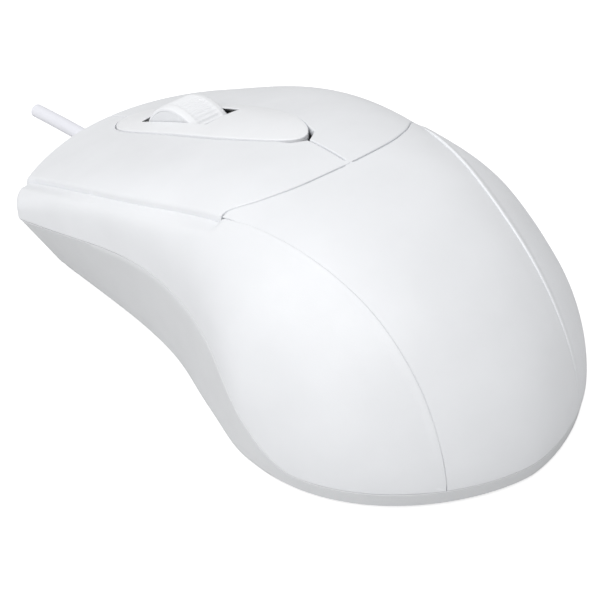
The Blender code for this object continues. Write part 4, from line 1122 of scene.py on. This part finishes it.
def screw(node_name, head_radius, head_height, shank_radius, faces_down):
    """Pan head with a cross recess on a threaded shank, about a vertical axis."""
    low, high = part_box(node_name)
    x, y = plan_centre(low, high)
    sign = -1 if faces_down else 1
    face, tip = (low.z, high.z) if faces_down else (high.z, low.z)
    back = face - sign * head_height
    head = [(head_radius * r, face - sign * HEAD_CROWN * r**4) for r in np.linspace(0, 1, 26)]
    neck = [(head_radius, back), (shank_radius, back)]
    thread = [(None, z) for z in np.linspace(back, tip, 90)]
    angle = np.linspace(0, 2 * math.pi, 72, endpoint=False)
    rings = []
    for radius, z in head + neck + thread + [(0.0, tip)]:
        if radius is None:
            wave = 0.5 + 0.5 * np.cos(2 * math.pi * z / THREAD_PITCH - angle)
            radius = shank_radius - THREAD_DEPTH * (1 - wave**3)
        px, py = radius * np.cos(angle), radius * np.sin(angle)
        depth = cross_recess(px, py, head_radius * 0.62) * RECESS_DEPTH if len(rings) < len(head) else 0
        rings.append(np.stack([x + px, y + py, z - sign * depth + 0 * px], -1))
    piece(node_name + "_cross_head", rings, stack_faces(rings), node_name, sharp=40)


def screws():
    for hand in ("left", "right"):
        screw("case_screw_" + hand, 0.0026, 0.0012, 0.0011, True)
        screw("board_screw_" + hand, 0.0022, 0.0010, 0.0010, False)


# Building the pieces

palm_cover()
side_shell()
key("left_key", -1)
key("right_key", 1)
wheel_bezel()
# Painted shade: the tub's white is made darker than the shell's to stand in for the shade that falls on the
# base under the body.
base_case(moulded("base_white_painted_shade", (0.70, 0.71, 0.725), roughness=0.48, grain=0.00003))
wheel_tyre()
wheel_hub()
cable_jacket()
cable_leads([moulded(name, colour, roughness=0.35, mottle=0.05) for name, colour in INSULATION.items()],
            finishes["conductor"])
strain_relief()
glide_pads()
pillow("blank_label_film", "blank_label", 0.0012, 0.00003)
screws()


# Stage

FLOOR_TONE = 0.60
FLOOR_GLOW = 0.72
FLOOR_BOUNCE = 0.63
AMBIENT = 0.64
SIDE_LEAN = 0.14
SOFTBOX_TOWARDS = (-0.6, -0.08, 0.8)
SOFTBOX_DISTANCE = 1.2
SOFTBOX_SIZE = 1.0
SOFTBOX_POWER = 8.8
FLOOR_REACH = 3.0
FLOOR_DROP = 0.00002
WHITE = (1, 1, 1, 1)
CAMERA_AZIMUTH, CAMERA_ELEVATION, CAMERA_ROLL = -37.44, 36.9, -2.9
CAMERA_TARGET = (-0.0115, -0.02875, 0.0174)
CAMERA_DISTANCE = 0.3042
CAMERA_LENS = 111.4


def studio():
    """A pale floor that glows only for the camera, a sky brighter towards +X, and one softbox."""
    mesh = bpy.data.meshes.new("floor")
    corners = [(x * FLOOR_REACH, y * FLOOR_REACH, 0) for x, y in ((-1, -1), (1, -1), (1, 1), (-1, 1))]
    mesh.from_pydata(corners, [], [(0, 1, 2, 3)])
    floor = bpy.data.objects.new("floor", mesh)
    floor.location.z = -FLOOR_DROP
    bpy.context.scene.collection.objects.link(floor)
    pale = bpy.data.materials.new("pale_floor")
    pale.use_nodes = True
    tree = pale.node_tree
    seen = node(tree, "ShaderNodeLightPath").outputs["Is Camera Ray"]
    tone = ramp(tree, seen, [(0.0, grey(FLOOR_BOUNCE)), (1.0, grey(FLOOR_TONE))])
    glow = node(tree, "ShaderNodeMath", {0: seen, 1: FLOOR_GLOW}, operation="MULTIPLY").outputs[0]
    shader = tree.nodes["Principled BSDF"]
    tree.links.new(tone, shader.inputs["Base Color"])
    tree.links.new(glow, shader.inputs["Emission Strength"])
    shader.inputs["Emission Color"].default_value = WHITE
    shader.inputs["Roughness"].default_value = 0.9
    mesh.materials.append(pale)
    world = bpy.data.worlds.new("studio")
    bpy.context.scene.world = world
    world.use_nodes = True
    sky = world.node_tree
    sky.nodes["Background"].inputs["Color"].default_value = WHITE
    towards = node(sky, "ShaderNodeSeparateXYZ", {0: node(sky, "ShaderNodeTexCoord").outputs["Generated"]})
    lean = node(sky, "ShaderNodeMath", {0: towards.outputs["X"], 1: AMBIENT * SIDE_LEAN, 2: AMBIENT},
                operation="MULTIPLY_ADD")
    seen = node(sky, "ShaderNodeLightPath").outputs["Is Camera Ray"]
    strength = node(sky, "ShaderNodeMath", {0: lean.outputs[0], 1: seen}, operation="MAXIMUM")
    sky.links.new(strength.outputs[0], sky.nodes["Background"].inputs["Strength"])
    light = bpy.data.lights.new("softbox", "AREA")
    light.size = SOFTBOX_SIZE
    light.energy = SOFTBOX_POWER
    lamp = bpy.data.objects.new("softbox", light)
    lamp.location = Vector(SOFTBOX_TOWARDS).normalized() * SOFTBOX_DISTANCE
    lamp.rotation_mode = "QUATERNION"
    lamp.rotation_quaternion = lamp.location.to_track_quat("Z", "Y")
    bpy.context.scene.collection.objects.link(lamp)
    bpy.context.scene.view_settings.view_transform = "Standard"


def camera():
    """The photo's point of view."""
    azimuth, elevation, roll = map(math.radians, (CAMERA_AZIMUTH, CAMERA_ELEVATION, CAMERA_ROLL))
    back = Vector((math.sin(azimuth) * math.cos(elevation), -math.cos(azimuth) * math.cos(elevation),
                   math.sin(elevation)))
    right = (-back).cross(Vector((0, 0, 1))).normalized()
    up = right.cross(-back)
    right, up = (right * math.cos(roll) + up * math.sin(roll), up * math.cos(roll) - right * math.sin(roll))
    lens = bpy.data.cameras.new("camera")
    lens.lens = CAMERA_LENS
    lens.clip_start = 0.01
    view = bpy.data.objects.new("camera", lens)
    turn = Matrix((right, up, back)).transposed().to_4x4()
    view.matrix_world = Matrix.Translation(Vector(CAMERA_TARGET) + back * CAMERA_DISTANCE) @ turn
    bpy.context.scene.collection.objects.link(view)
    bpy.context.scene.camera = view


studio()
camera()
